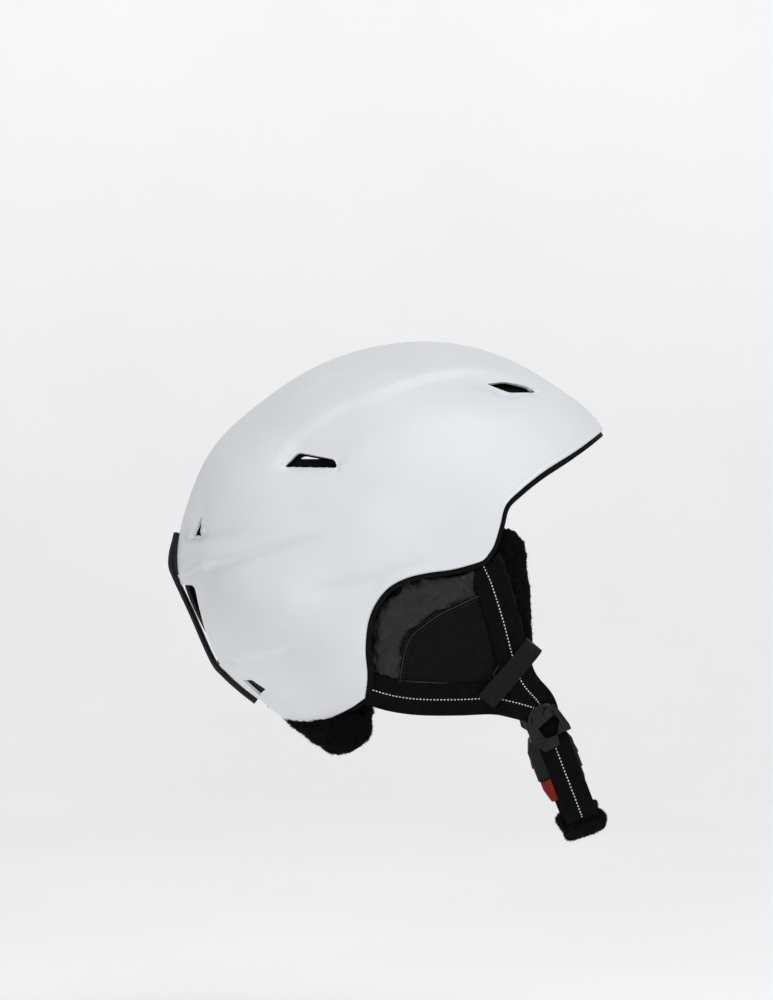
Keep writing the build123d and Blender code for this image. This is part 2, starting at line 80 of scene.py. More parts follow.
# %% Helpers for selecting, finishing and colour
def choose(*pieces):
    """Selects only these pieces, the first of them active."""
    bpy.ops.object.select_all(action="DESELECT")
    for piece in pieces:
        piece.select_set(True)
    bpy.context.view_layer.objects.active = pieces[0]
    return pieces[0]


def linear(code):
    """An sRGB hex value as linear red, green, blue and alpha."""
    parts = [int(code[i:i + 2], 16) / 255 for i in (1, 3, 5)]
    return tuple(p / 12.92 if p <= 0.04045 else ((p + 0.055) / 1.055) ** 2.4 for p in parts) + (1.0,)


def unit(v):
    """The same directions, with length 1."""
    return v / (np.linalg.norm(v, axis=-1, keepdims=True) + 1e-12)


def lengths_along(line):
    """Distance along a line from its start to each of its points."""
    return np.concatenate([[0], np.cumsum(np.linalg.norm(np.diff(line, axis=0), axis=1))])


def settle(piece, name, angle=40):
    """Names a piece, applies its place and shades it smooth up to an angle."""
    choose(piece)
    piece.name = piece.data.name = name
    bpy.ops.object.transform_apply(location=True, rotation=True, scale=True)
    bpy.ops.object.shade_smooth_by_angle(angle=radians(angle))
    return piece


def edit_all(piece, step, **settings):
    """Runs one edit-mode operator on all of a piece."""
    choose(piece)
    bpy.ops.object.mode_set(mode="EDIT")
    bpy.ops.mesh.select_all(action="SELECT")
    step(**settings)
    bpy.ops.object.mode_set(mode="OBJECT")


def apply_modifier(piece, kind, **settings):
    """Adds a modifier with its settings and applies it."""
    choose(piece)
    modifier = piece.modifiers.new(kind.title(), kind)
    for key, value in settings.items():
        setattr(modifier, key, value)
    bpy.ops.object.modifier_apply(modifier=modifier.name)


def add_piece(name, mesh):
    """A new object in the scene for a mesh."""
    piece = bpy.data.objects.new(name, mesh)
    bpy.context.scene.collection.objects.link(piece)
    return piece


def mirrored(piece, name):
    """A copy of a right-hand piece on the left, with its own mesh."""
    twin = piece.copy()
    twin.data = piece.data.copy()
    bpy.context.scene.collection.objects.link(twin)
    twin.data.transform(Matrix.Scale(-1, 4, (0, 1, 0)))
    twin.data.flip_normals()
    twin.name = twin.data.name = name
    return twin


# %% [markdown]
# Every finish is a few nodes joined the same way: a pattern, a colour that drifts a little over it, and a
# bump whose height is given in mm. Small functions keep each finish to a few lines that can be read.

# %% Helpers that build materials
def add_node(tree, kind, inputs=None, **settings):
    """Adds a node. inputs gives a value, or another node's output, for each named socket."""
    node = tree.nodes.new(kind)
    for key, value in settings.items():
        setattr(node, key, value)
    for key, value in (inputs or {}).items():
        socket = node.inputs[key]
        if isinstance(value, bpy.types.NodeSocket):
            tree.links.new(value, socket)
        else:
            socket.default_value = value
    return node


def start_material(name, code, roughness, **sockets):
    """A new material with its colour and shader values, and its Object coordinates in mm."""
    material = bpy.data.materials.new(name)
    material.use_nodes = True
    tree = material.node_tree
    shader = tree.nodes["Principled BSDF"]
    shader.inputs["Base Color"].default_value = linear(code)
    shader.inputs["Roughness"].default_value = roughness
    for key, value in sockets.items():
        shader.inputs[key.replace("_", " ")].default_value = value
    place = add_node(tree, "ShaderNodeTexCoord")
    scale = {"Vector": place.outputs["Object"], "Scale": (1 / MM, 1 / MM, 1 / MM)}
    in_mm = add_node(tree, "ShaderNodeMapping", scale)
    return material, tree, shader, in_mm.outputs["Vector"]


def mottle(tree, shader, vector, code_a, code_b, grain, low=0.35, high=0.65, detail=3.0):
    """Colour that drifts between two values over patches grain millimetres wide."""
    cloud = add_node(tree, "ShaderNodeTexNoise", {"Vector": vector, "Scale": 1 / grain, "Detail": detail})
    ramp = add_node(tree, "ShaderNodeValToRGB", {"Fac": cloud.outputs["Fac"]})
    ramp.color_ramp.elements[0].position = low
    ramp.color_ramp.elements[0].color = linear(code_a)
    ramp.color_ramp.elements[1].position = high
    ramp.color_ramp.elements[1].color = linear(code_b)
    tree.links.new(ramp.outputs["Color"], shader.inputs["Base Color"])
    return ramp


def relief(tree, shader, height, depth, after=None):
    """Bump from a height of 0 to 1 that stands for depth millimetres."""
    inputs = {"Height": height, "Distance": depth * MM, "Strength": 1.0}
    if after:
        inputs["Normal"] = after.outputs["Normal"]
    bump = add_node(tree, "ShaderNodeBump", inputs)
    tree.links.new(bump.outputs["Normal"], shader.inputs["Normal"])
    return bump


# %% [markdown]
# ## Stage, light and camera
# The helmet is shown from its right side against a plain pale sweep, in broad soft light from above,
# so the shell's low creases read as gentle shadows. The camera stands 2.4 m off, at head height.

# %% Stage
SWEEP = "#F8F8F8"
CAMERA_DISTANCE = 2.4
VIEW_WIDTH = 0.4909                # metres across the picture at the middle plane
FLOOR_DROP = 0.16                  # from the lowest point of the helmet

sweep_mat, sweep_tree, sweep_shader, sweep_mm = start_material("seamless paper", SWEEP, 0.9)
sweep_shader.inputs["Specular IOR Level"].default_value = 0.0
mottle(sweep_tree, sweep_shader, sweep_mm, "#F4F4F4", "#F8F8F8", 400.0)
height = add_node(sweep_tree, "ShaderNodeSeparateXYZ", {"Vector": sweep_mm})
rise = {"Value": height.outputs["Z"], "From Min": -420.0, "From Max": 900.0, "To Min": 0.19, "To Max": 0.34}
lift = add_node(sweep_tree, "ShaderNodeMapRange", rise)
sweep_shader.inputs["Emission Color"].default_value = (1, 1, 1, 1)
sweep_tree.links.new(lift.outputs["Result"], sweep_shader.inputs["Emission Strength"])
bpy.ops.mesh.primitive_grid_add(x_subdivisions=2, y_subdivisions=40, size=1)
sweep = bpy.context.object
floor_z = cad_box[0][2] - FLOOR_DROP
for vertex in sweep.data.vertices:
    along = (vertex.co.y + 0.5) * 12.0 - 5.0
    bend = max(0.0, along - 2.0)
    turn = min(bend / 1.5, pi / 2)
    y = min(along, 2.0) + 1.5 * sin(turn)
    z = floor_z + 1.5 * (1 - cos(turn)) + max(0.0, bend - 1.5 * pi / 2)
    vertex.co = (vertex.co.x * 16.0, y, z)
settle(sweep, "paper_sweep", 60)
sweep.data.materials.append(sweep_mat)
print("floor at", round(floor_z / MM), "mm")

# %% [markdown]
# A wide softbox above and in front models the shell's curves, a weak wide one fills the front, and the
# room gives the rest. Sharp lamps would draw hard shadows that hide how soft the creases are.

# %% Light
scene = bpy.context.scene
scene.view_settings.view_transform = "Standard"
world = bpy.data.worlds.new("soft room")
scene.world = world
world.use_nodes = True
sky = world.node_tree.nodes["Background"]
sky.inputs["Color"].default_value = (0.97, 0.98, 1.0, 1.0)
sky.inputs["Strength"].default_value = 0.42


def softbox(name, place, aim, size, power):
    """A square area light at place, facing aim."""
    light = bpy.data.lights.new(name, "AREA")
    light.shape = "SQUARE"
    light.size = size
    light.energy = power
    lamp = bpy.data.objects.new(name, light)
    lamp.location = place
    lamp.rotation_euler = (Vector(aim) - Vector(place)).to_track_quat("-Z", "Y").to_euler()
    scene.collection.objects.link(lamp)
    return lamp


softbox("key_above_front", (0.7, -1.5, 2.3), (0, 0, 0), 1.2, 38)
softbox("front_fill", (-0.9, -2.8, 0.4), (0, 0, 0), 1.6, 9)

# %% [markdown]
# A long lens from far off keeps the near and the far side nearly the same size, as in a catalogue picture.

# %% Camera
camera_data = bpy.data.cameras.new("camera")
camera_data.sensor_fit = "HORIZONTAL"
camera_data.sensor_width = 36
camera_data.lens = 36 * CAMERA_DISTANCE / VIEW_WIDTH
camera = bpy.data.objects.new("camera", camera_data)
camera.location = (0.00095, -CAMERA_DISTANCE, 0.0254)
camera.rotation_euler = (pi / 2, 0, 0)
scene.collection.objects.link(camera)
scene.camera = camera
print("lens:", round(camera_data.lens), "mm")

# %% [markdown]
# ## Finishes
# Each finish starts from what it is on the real helmet and how its surface was made.

# %% [markdown]
# The shell is ABS, moulded and sprayed white. The spray leaves a faint orange peel about 1 mm wide, and the
# lacquer is matt, so highlights are broad. A weak noise bump and a high roughness give both.

# %% Matte white shell
shell_mat, tree, shader, mm = start_material("matte white ABS", "#DEE0E4", 0.5)
mottle(tree, shader, mm, "#DADCE0", "#E0E2E5", 60.0)
peel = add_node(tree, "ShaderNodeTexNoise", {"Vector": mm, "Scale": 1.1, "Detail": 2.0})
relief(tree, shader, peel.outputs["Fac"], 0.03)

# %% [markdown]
# The liner is moulded from black foam beads 3 mm across that fuse in steam, with fine lines left between
# them. A Voronoi texture's distance to its cell edges draws just such a pattern.

# %% Bead foam
foam_mat, tree, shader, mm = start_material("black bead foam", "#0A0A0B", 0.85, Specular_IOR_Level=0.12)
beads = add_node(tree, "ShaderNodeTexVoronoi", {"Vector": mm, "Scale": 1 / 3.0}, feature="DISTANCE_TO_EDGE")
edge = add_node(tree, "ShaderNodeMath", {0: beads.outputs["Distance"], 1: 0.12}, operation="MINIMUM")
mottle(tree, shader, mm, "#070708", "#0D0D0E", 8.0)
relief(tree, shader, edge.outputs["Value"], 1.2)

# %% [markdown]
# The leather-look is PU film embossed with pebbles about 1 mm wide, a little longer one way, and it creases
# where it is pulled over the pad. Pebbles come from a stretched Voronoi, and creases from a wider noise.

# %% Grained leather-look
leather_mat, tree, shader, mm = start_material("embossed PU leather", "#08080A", 0.33, Specular_IOR_Level=0.4)
stretch = {"Vector": mm, "Scale": (1.0, 1.0, 0.62), "Rotation": (0, 0.35, 0)}
squeeze = add_node(tree, "ShaderNodeMapping", stretch)
pebbles = add_node(tree, "ShaderNodeTexVoronoi", {"Vector": squeeze.outputs["Vector"], "Scale": 1 / 1.25},
                   feature="DISTANCE_TO_EDGE")
valley = add_node(tree, "ShaderNodeMath", {0: pebbles.outputs["Distance"], 1: 0.22}, operation="MINIMUM")
mottle(tree, shader, mm, "#060607", "#0B0B0C", 14.0)
film = relief(tree, shader, valley.outputs["Value"], 0.7)
folds = add_node(tree, "ShaderNodeTexNoise", {"Vector": mm, "Scale": 1 / 6.0, "Detail": 4.0})
relief(tree, shader, folds.outputs["Fac"], 1.2, film)


# %% [markdown]
# The pads are lined with brushed knit, and the ear pad is faced with smooth jersey. Both are looped yarn, so
# one function crosses two wave textures, and the two cloths differ in the yarn's pitch and depth.

# %% Knit and jersey
WAVE_TURN = 0.314                  # a wave texture of scale 1 repeats every 0.314 units


def cloth(name, dark, light, pitch, depth, roughness, sheen):
    """A black cloth with crossed threads pitch millimetres apart."""
    made = start_material(name, dark, roughness, Specular_IOR_Level=0.12, Sheen_Weight=sheen)
    material, tree, shader, mm = made
    mottle(tree, shader, mm, dark, light, pitch * 6)
    threads = []
    for direction in ("X", "Z"):
        weave = {"Vector": mm, "Scale": WAVE_TURN / pitch, "Distortion": 1.2, "Detail": 1.0}
        threads.append(add_node(tree, "ShaderNodeTexWave", weave, bands_direction=direction))
    crossed = add_node(tree, "ShaderNodeMath", {0: threads[0].outputs["Fac"], 1: threads[1].outputs["Fac"]},
                       operation="MAXIMUM")
    relief(tree, shader, crossed.outputs["Value"], depth)
    return material


knit_mat = cloth("brushed black knit", "#08080A", "#0E0E10", 0.9, 0.35, 0.9, 0.03)
panel_mat = cloth("smooth black jersey", "#070709", "#0C0C0E", 0.6, 0.12, 0.8, 0.01)


# %% [markdown]
# Fleece is knit brushed into a short curly pile. The base under the fibres is matt, with tufts about 1 mm
# wide as bump. The fibres themselves are modelled later.

# %% Fleece
fleece_mat, tree, shader, mm = start_material("short black fleece", "#070708", 0.95, Specular_IOR_Level=0.08)
mottle(tree, shader, mm, "#040405", "#0D0D0F", 2.0)
tufts = add_node(tree, "ShaderNodeTexNoise", {"Vector": mm, "Scale": 0.9, "Detail": 4.0, "Roughness": 0.7})
relief(tree, shader, tufts.outputs["Fac"], 1.6)

# %% [markdown]
# Webbing is woven with ribs across it, 1.1 mm apart. The ribs must turn with the strap, so the pattern reads
# the strap's own UV map, which is kept in mm, and not the place in space.

# %% Woven webbing
webbing_mat, tree, shader, mm = start_material("woven polyester webbing", "#060607", 0.75,
                                               Specular_IOR_Level=0.08)
strap_uv = add_node(tree, "ShaderNodeUVMap", uv_map="strap")
across_strap = {"Vector": strap_uv.outputs["UV"], "Scale": WAVE_TURN / 1.1, "Distortion": 0.4}
along_strap = {"Vector": strap_uv.outputs["UV"], "Scale": WAVE_TURN / 0.9, "Distortion": 0.6}
ribs = add_node(tree, "ShaderNodeTexWave", across_strap, bands_direction="Y")
warp = add_node(tree, "ShaderNodeTexWave", along_strap, bands_direction="X")
both = {0: ribs.outputs["Fac"], 1: warp.outputs["Fac"]}
woven = add_node(tree, "ShaderNodeMath", both, operation="MULTIPLY")
mottle(tree, shader, mm, "#040405", "#08080A", 5.0)
relief(tree, shader, woven.outputs["Value"], 0.35)


# %% [markdown]
# Thread is two plies twisted together, so fine ridges cross each stitch at a slant. The white and the black
# thread differ only in colour.

# %% Sewing thread
def thread(name, dark, light, roughness):
    """Twisted thread, with ridges that cross it at a slant."""
    material, tree, shader, mm = start_material(name, dark, roughness)
    twist = add_node(tree, "ShaderNodeTexWave", {"Vector": mm, "Scale": 1.4}, bands_direction="DIAGONAL")
    relief(tree, shader, twist.outputs["Fac"], 0.08)
    mottle(tree, shader, mm, dark, light, 6.0)
    return material


thread_mat = thread("white polyester thread", "#CFCFCF", "#E4E4E2", 0.7)
black_thread = thread("black thread", "#1A1A1C", "#242427", 0.6)


# %% [markdown]
# The buckle and dividers are nylon and acetal from spark-eroded moulds, which leave a fine even grain and a
# soft gloss. The band is rubber, more matt. One function makes all three.

# %% Moulded plastics and rubber
def moulded(name, dark, light, roughness, grain, depth):
    """Moulded plastic or rubber with a fine texture grain millimetres wide."""
    material, tree, shader, mm = start_material(name, dark, roughness)
    shader.inputs["Specular IOR Level"].default_value = 0.3
    mottle(tree, shader, mm, dark, light, 12.0)
    texture = add_node(tree, "ShaderNodeTexNoise", {"Vector": mm, "Scale": 1 / grain, "Detail": 2.0})
    relief(tree, shader, texture.outputs["Fac"], depth)
    return material


nylon_mat = moulded("black nylon", "#060607", "#0B0B0D", 0.32, 0.5, 0.05)
red_mat = moulded("red acetal", "#761406", "#8E1C0A", 0.4, 0.5, 0.04)
rubber_mat = moulded("black moulded rubber", "#0F0F11", "#161618", 0.55, 0.7, 0.06)
print("finishes so far:", ", ".join(sorted(material.name for material in bpy.data.materials)))

# %% [markdown]
# ## The shell's surface
# Seen from the side, every section of the shell is the middle outline shrunk about a point by the ear.
# The shrinking follows a rounded-square law across the head, so any point's distance out from the middle
# comes from how far it is along the line from that point to the outline.

# %% Measure of the shell's surface
OUTLINE = ((138.5, 70), (130.5, 80.5), (111.8, 95.3), (87, 110.5), (57.8, 121.9), (25.4, 126),
           (-10.2, 121.9), (-50.2, 106.7), (-78.7, 87.6), (-109.9, 57.2), (-125, 24), (-131.4, -4),
           (-130, -26), (-123.5, -44), (-114.5, -62), (-103.5, -80), (-90.5, -92), (-64, -114),
           (-30, -140), (20, -150), (75, -135), (118, -90), (138, -20), (143, 35))
POLE = np.array((22.0, -52.0))
HALF_WIDTH = 108.0
POWER = 2.25


def round_spline(angles, values):
    """A smooth closed curve of value against angle: its second derivatives at the knots."""
    n = len(angles)
    gap = np.roll(angles, -1) - angles
    gap[-1] += 2 * pi
    matrix, right = np.zeros((n, n)), np.zeros(n)
    for i in range(n):
        before, after = gap[i - 1], gap[i]
        matrix[i, i - 1] += before
        matrix[i, i] += 2 * (before + after)
        matrix[i, (i + 1) % n] += after
        right[i] = 6 * ((values[(i + 1) % n] - values[i]) / after - (values[i] - values[i - 1]) / before)
    return gap, np.linalg.solve(matrix, right)


from_pole = np.array(OUTLINE) - POLE
knots = np.unwrap(np.arctan2(from_pole[:, 1], from_pole[:, 0]))
reach = np.hypot(from_pole[:, 0], from_pole[:, 1])
gaps, curving = round_spline(knots, reach)
print("the outline stands", round(float(reach.min())), "to", round(float(reach.max())), "mm from its pole")


def outline_reach(angle):
    """Distance from the pole to the outline on the middle plane, in mm."""
    angle = knots[0] + np.mod(np.asarray(angle, float) - knots[0], 2 * pi)
    i = np.clip(np.searchsorted(knots, angle, side="right") - 1, 0, len(knots) - 1)
    j = (i + 1) % len(knots)
    t, h = angle - knots[i], gaps[i]
    a = (h - t) / h
    b = t / h
    return a * reach[i] + b * reach[j] + ((a**3 - a) * curving[i] + (b**3 - b) * curving[j]) * h * h / 6


def to_polar(x, z):
    """Angle round the pole, and 0 at the pole to 1 on the middle plane."""
    angle = np.mod(np.arctan2(z - POLE[1], x - POLE[0]), 2 * pi)
    share = np.clip(np.hypot(x - POLE[0], z - POLE[1]) / outline_reach(angle), 0, 1)
    return angle, 1 - np.arccos(share ** (POWER / 2)) / (pi / 2)


def on_shell(angle, out):
    """The surface's point, in mm, on the right-hand side."""
    lean = (1 - out) * pi / 2
    share = np.clip(np.cos(lean), 0, 1) ** (2 / POWER)
    side = np.clip(np.sin(lean), 0, 1) ** (2 / POWER)
    far = share * outline_reach(angle)
    return np.stack([POLE[0] + far * np.cos(angle), -HALF_WIDTH * side, POLE[1] + far * np.sin(angle)], -1)


def smooth_line(points, count):
    """A smooth open line through points, as count points."""
    points = np.asarray(points, float)
    ends = np.vstack([2 * points[0] - points[1], points, 2 * points[-1] - points[-2]])
    out = []
    places = np.linspace(0, len(points) - 1, count)
    for place in places:
        i = min(int(place), len(points) - 2)
        t = place - i
        p0, p1, p2, p3 = ends[i:i + 4]
        out.append(0.5 * (2 * p1 + (p2 - p0) * t + (2 * p0 - 5 * p1 + 4 * p2 - p3) * t * t
                          + (3 * p1 - p0 - 3 * p2 + p3) * t**3))
    return np.array(out)


# %% [markdown]
# ## The shell's rim
# The rim runs from the brim's tip back over the temple, round the ear and down to a lobe behind it, then
# up over the nape. The four sides of one patch follow it, so the mesh's own edge is the rim.

# %% The four sides of the right-hand patch
BRIM = ((138.6, 70), (120, 57), (99, 44), (84, 32.5), (74, 22.5), (70.3, 10), (66.5, -2), (62, -9))
EAR_ARCH = ((62, -9), (58, -12), (42, -16.5), (26, -18.8), (13, -22), (2, -28), (-6, -38), (-10.5, -50),
            (-12, -66), (-11, -82), (-12.5, -96))
LOBE = ((-12.5, -96), (-24, -104), (-50, -117.5))
SIDE_POINTS = 401                  # about 1 mm apart on the longest side


def side_of_patch(line):
    """A side's points as polar places, evenly spaced by real distance."""
    angle, out = to_polar(line[:, 0], line[:, 1])
    places = np.stack([angle, out], -1)
    surface = on_shell(angle, out)
    steps = lengths_along(surface)
    at = np.linspace(0, steps[-1], SIDE_POINTS)
    return np.stack([np.interp(at, steps, places[:, k]) for k in range(2)], -1)


arch_turn = np.linspace(0, asin(37.3 / 40), 60)
arch_y, arch_z = 40 * np.sin(arch_turn), -130 + 24 * np.cos(arch_turn)
arch = []
for y, z in zip(arch_y, arch_z):
    share = (1 - (y / HALF_WIDTH) ** POWER) ** (1 / POWER)
    turns = np.linspace(radians(195), radians(245), 800)
    heights = POLE[1] + share * outline_reach(turns) * np.sin(turns)
    angle = turns[np.argmin(np.abs(heights - z))]
    arch.append((POLE[0] + share * outline_reach(angle) * cos(angle), z))
nape_line = np.vstack([np.array(arch)[:-1], smooth_line(LOBE, 60)[::-1]])
front_side = side_of_patch(smooth_line(BRIM, 300))
ear_side = side_of_patch(smooth_line(EAR_ARCH, 400))
nape_side = side_of_patch(nape_line)
top_angles = np.linspace(front_side[0, 0], nape_side[0, 0], 600)
top_points = on_shell(top_angles, np.ones(600))
top_side = side_of_patch(top_points[:, (0, 2)])
print("rim corners:", np.round(on_shell(*ear_side[0]), 1), np.round(on_shell(*ear_side[-1]), 1))


# %% [markdown]
# ## The shell's creases
# The moulded skin has long soft creases that stiffen it: a ridge over the temple, a strong step from the
# back of the head to above the ear, a flare round the ear and scoops that lead air into the vents. Each
# is a line seen from the side, below which the skin steps in and comes slowly back out.

# %% Crease lines and vent scoops, in mm seen from the side
TEMPLE_RIDGE = ((94, 99), (75, 105), (64, 107.5), (50, 108), (35, 106), (20, 102.5), (4, 97), (-9, 91),
                (-24, 87), (-39, 78), (-51, 70), (-60, 62), (-69, 51), (-76, 46))
CROWN_RIDGE = ((0, 115), (-12, 112), (-34, 105), (-52, 94), (-72, 79))
REAR_STEP = ((-136, -21), (-126, -19), (-113, -13), (-90, -6.5), (-67, 0.5), (-45, 6), (-13, 11.5), (6, 13))
VENT_LINE = ((-128, 3), (-117, 5), (-92, 9), (-72, 12.5), (-60, 14))
EAR_FLARE = ((-62, -36), (-51, -33), (-34, -30), (-18, -27), (-4, -24.5), (14, -18), (38, -12))
LOW_RIDGE = ((-110, -78), (-100, -75), (-79, -69), (-56, -61), (-38, -56))
UNDER_VENT = ((-84, 42), (-76, 41), (-30, 39.5), (20, 40))
SIDE_VENT = ((-62, 45.6), (-53.5, 54.8), (-31, 50.5), (-29, 45))
FRONT_VENT = ((63, 97.6), (75, 99), (88.4, 96.4), (94.5, 92.4), (77, 91.9))
REAR_VENT = ((-45, 16), (-49.5, 3), (-40, 2))
LOW_VENT = ((-29, -87.5), (-46, -86.8), (-51, -92.5), (-27, -98))
DEEPEST = 4.6                      # where creases cross they go no deeper, or the foam would show through


def from_segment(x, z, start, end):
    """Each point's distance from a straight segment, and how far along it the nearest place is."""
    (x0, z0), (x1, z1) = start, end
    dx, dz = x1 - x0, z1 - z0
    t = np.clip(((x - x0) * dx + (z - z0) * dz) / (dx * dx + dz * dz), 0, 1)
    return np.hypot(x - x0 - t * dx, z - z0 - t * dz), t


def beside(line, x, z):
    """Signed distance below a line, in mm, and the share of its length at the nearest point."""
    line = smooth_line(line, 60)
    lengths = lengths_along(line)
    best, side, share = np.full(x.shape, 1e9), np.zeros(x.shape), np.zeros(x.shape)
    for k in range(len(line) - 1):
        (x0, z0), (x1, z1) = line[k], line[k + 1]
        dx, dz = x1 - x0, z1 - z0
        away, t = from_segment(x, z, line[k], line[k + 1])
        sign = np.sign((x - x0) * dz - (z - z0) * dx) * (1 if line[-1, 0] > line[0, 0] else -1)
        near = away < best
        best = np.where(near, away, best)
        side = np.where(near, sign, side)
        share = np.where(near, (lengths[k] + t * (lengths[k + 1] - lengths[k])) / lengths[-1], share)
    return best * np.where(side == 0, 1, side), share


def ease(low, high, value):
    """0 below low, 1 above high and a smooth change between."""
    t = np.clip((value - low) / (high - low), 0, 1)
    return t * t * (3 - 2 * t)


def step_in(line, x, z, depth, drop, back, fade_start=0.15, fade_end=0.3):
    """How far the skin steps in below a line: depth after drop mm, and none after back mm."""
    below, share = beside(line, x, z)
    fade = ease(0, fade_start, share) * (1 - ease(1 - fade_end, 1, share))
    return depth * fade * ease(0, drop, below) * (1 - ease(drop, back, below))


def scoop(outline, x, z, depth, above, below):
    """A hollow round a vent, which reaches above mm over it and below mm under it."""
    centre = np.mean(outline, axis=0)
    loop = list(outline) + [outline[0]]
    away = np.full(x.shape, 1e9)
    for start, end in zip(loop[:-1], loop[1:]):
        away = np.minimum(away, from_segment(x, z, start, end)[0])
    width = np.where(z > centre[1], above, below)
    return depth * np.exp(-((away / width) ** 2))


def creases(x, y, z):
    """The whole pattern's depth at each point, in mm."""
    side = np.abs(y)
    off_middle = ease(14, 40, side)
    depth = step_in(TEMPLE_RIDGE, x, z, 2.4, 5, 34, 0.12, 0.08)
    depth += step_in(CROWN_RIDGE, x, z, 0.9, 5, 22, 0.3, 0.3)
    depth += step_in(REAR_STEP, x, z, 4.2, 5, 42, 0.02, 0.6) * off_middle
    depth += step_in(VENT_LINE, x, z, 1.9, 3, 17, 0.02, 0.6) * off_middle
    depth += step_in(LOW_RIDGE, x, z, 2.2, 4.5, 26, 0.1, 0.4) * off_middle
    depth += step_in(UNDER_VENT, x, z, 0.9, 3.5, 24, 0.2, 0.6)
    flare, share = beside(EAR_FLARE, x, z)
    depth += 2.9 * np.exp(-((flare / 5.5) ** 2)) * ease(0, 0.25, share) * (1 - ease(0.75, 1, share))
    depth += scoop(SIDE_VENT, x, z, 2.4, 7.0, 1.6) * ease(20, 40, side)
    depth += scoop(FRONT_VENT, x, z, 2.2, 6.0, 1.6) * ease(10, 25, side)
    rear_scoop = scoop(REAR_VENT, -side, z, 2.2, 8.0, 3.0)
    depth += np.where(x < -80, rear_scoop, 0)
    low_scoop = scoop(LOW_VENT, -side, z, 1.2, 4.0, 2.5)
    depth += np.where(x < -60, low_scoop, 0)
    channel = np.exp(-(((side - 27) / 7) ** 2)) * ease(95, 112, z) * ease(-30, 0, x)
    return np.minimum(depth, DEEPEST) + 1.1 * channel


# %% [markdown]
# The patch between the four sides is filled by blending them, which keeps rows running along the rim. Rows
# are closer together near the rim, where the skin rounds over, and each point then goes in by its crease.

# %% Place the shell's grid
def graded(count, near):
    """Shares from 0 to 1, closer together near the ends given in near."""
    places = [0.0]
    closer = [0.25, 0.3, 0.4, 0.55, 0.75, 0.95]
    steps = (closer if near[0] else []) + [1.0] * count + (closer[::-1] if near[1] else [])
    for step in steps:
        places.append(places[-1] + step)
    return np.array(places) / places[-1]


def grid_mesh(name, points):
    """A primitive grid with its vertices put at points, an array of rows of X, Y, Z in mm."""
    rows, columns = points.shape[:2]
    bpy.ops.mesh.primitive_grid_add(x_subdivisions=columns - 1, y_subdivisions=rows - 1, size=1)
    piece = bpy.context.object
    piece.name = piece.data.name = name
    piece.data.vertices.foreach_set("co", (points.reshape(-1, 3) * MM).ravel())
    piece.data.update()
    return piece


def sides_at(side, shares):
    """A side's polar places at the given shares of its length."""
    places = shares * (SIDE_POINTS - 1)
    return np.stack([np.interp(places, np.arange(SIDE_POINTS), side[:, k]) for k in range(2)], -1)


along = graded(216, (True, True))
across = graded(92, (False, True))
top, ear = sides_at(top_side, along), sides_at(ear_side, along)
front, nape = sides_at(front_side, across), sides_at(nape_side, across)
s, t = along[None, :, None], across[:, None, None]
patch = (1 - t) * top[None] + t * ear[None] + (1 - s) * front[:, None] + s * nape[:, None]
patch -= (1 - s) * (1 - t) * top[0] + s * (1 - t) * top[-1] + (1 - s) * t * ear[0] + s * t * ear[-1]
right = on_shell(patch[..., 0], patch[..., 1])
left = right[1:][::-1] * (1, -1, 1)
whole = np.concatenate([left, right])


def edge_distance(points):
    """Each grid point's distance from the nearest rim, along the grid's own lines."""
    def run(a, axis):
        steps = np.linalg.norm(np.diff(a, axis=axis), axis=-1)
        total = np.cumsum(steps, axis=axis)
        pad = np.zeros_like(np.take(total, [0], axis=axis))
        return np.concatenate([pad, total], axis=axis)

    ways = [run(points, 0), run(points[::-1], 0)[::-1], run(points, 1), run(points[:, ::-1], 1)[:, ::-1]]
    return np.min(ways, axis=0)


def grid_normals(points):
    """Outward normals of a grid of points on the shell."""
    du = np.gradient(points, axis=1)
    dv = np.gradient(points, axis=0)
    normal = np.cross(du, dv)
    normal /= np.linalg.norm(normal, axis=-1, keepdims=True) + 1e-9
    outward = points - np.array((0.0, 0.0, -20.0))
    return normal * np.sign(np.sum(normal * outward, axis=-1, keepdims=True))


base_normals = grid_normals(whole)
rim_gap = edge_distance(whole)
RIM_ROUND = 1.1                    # radius on the shell's edge
SMOOTH_RIM = (1.0, 7.0)            # creases fade out between these distances from the rim
rounded = RIM_ROUND - np.sqrt(np.clip(RIM_ROUND**2 - np.clip(RIM_ROUND - rim_gap, 0, None) ** 2, 0, None))
fade_at_rim = ease(*SMOOTH_RIM, rim_gap)
depth = creases(whole[..., 0], whole[..., 1], whole[..., 2]) * fade_at_rim
depth += 0.35 * np.exp(-(((rim_gap - 3.4) / 0.8) ** 2)) * ease(45, 70, whole[..., 0])
placed = whole - base_normals * (depth + rounded)[..., None]
shell = grid_mesh("shell", placed)
print("deepest crease:", round(float(depth.max()), 2), "mm;", len(shell.data.vertices), "vertices")

# %% [markdown]
# A boolean cutter fails on an open skin, so each opening is cut by planes along its outline, and the faces
# inside go. The skin then gets its 1.8 mm thickness, dark inside as the foam behind it is.

# %% Cut the shell's openings and give it thickness
edit_all(shell, bpy.ops.mesh.normals_make_consistent, inside=False)
top_face = max(shell.data.polygons, key=lambda f: f.center.z)
if top_face.normal.z < 0:
    shell.data.flip_normals()


def rounded_outline(outline, radius, count=5):
    """An outline with its corners rounded."""
    out = []
    n = len(outline)
    for k in range(n):
        corner = np.array(outline[k], float)
        before, after = np.array(outline[k - 1]) - corner, np.array(outline[(k + 1) % n]) - corner
        a = corner + before / np.linalg.norm(before) * min(radius, np.linalg.norm(before) * 0.45)
        b = corner + after / np.linalg.norm(after) * min(radius, np.linalg.norm(after) * 0.45)
        for i in range(count + 1):
            w = i / count
            out.append((1 - w) ** 2 * a + 2 * w * (1 - w) * corner + w * w * b)
    return [tuple(p) for p in out]


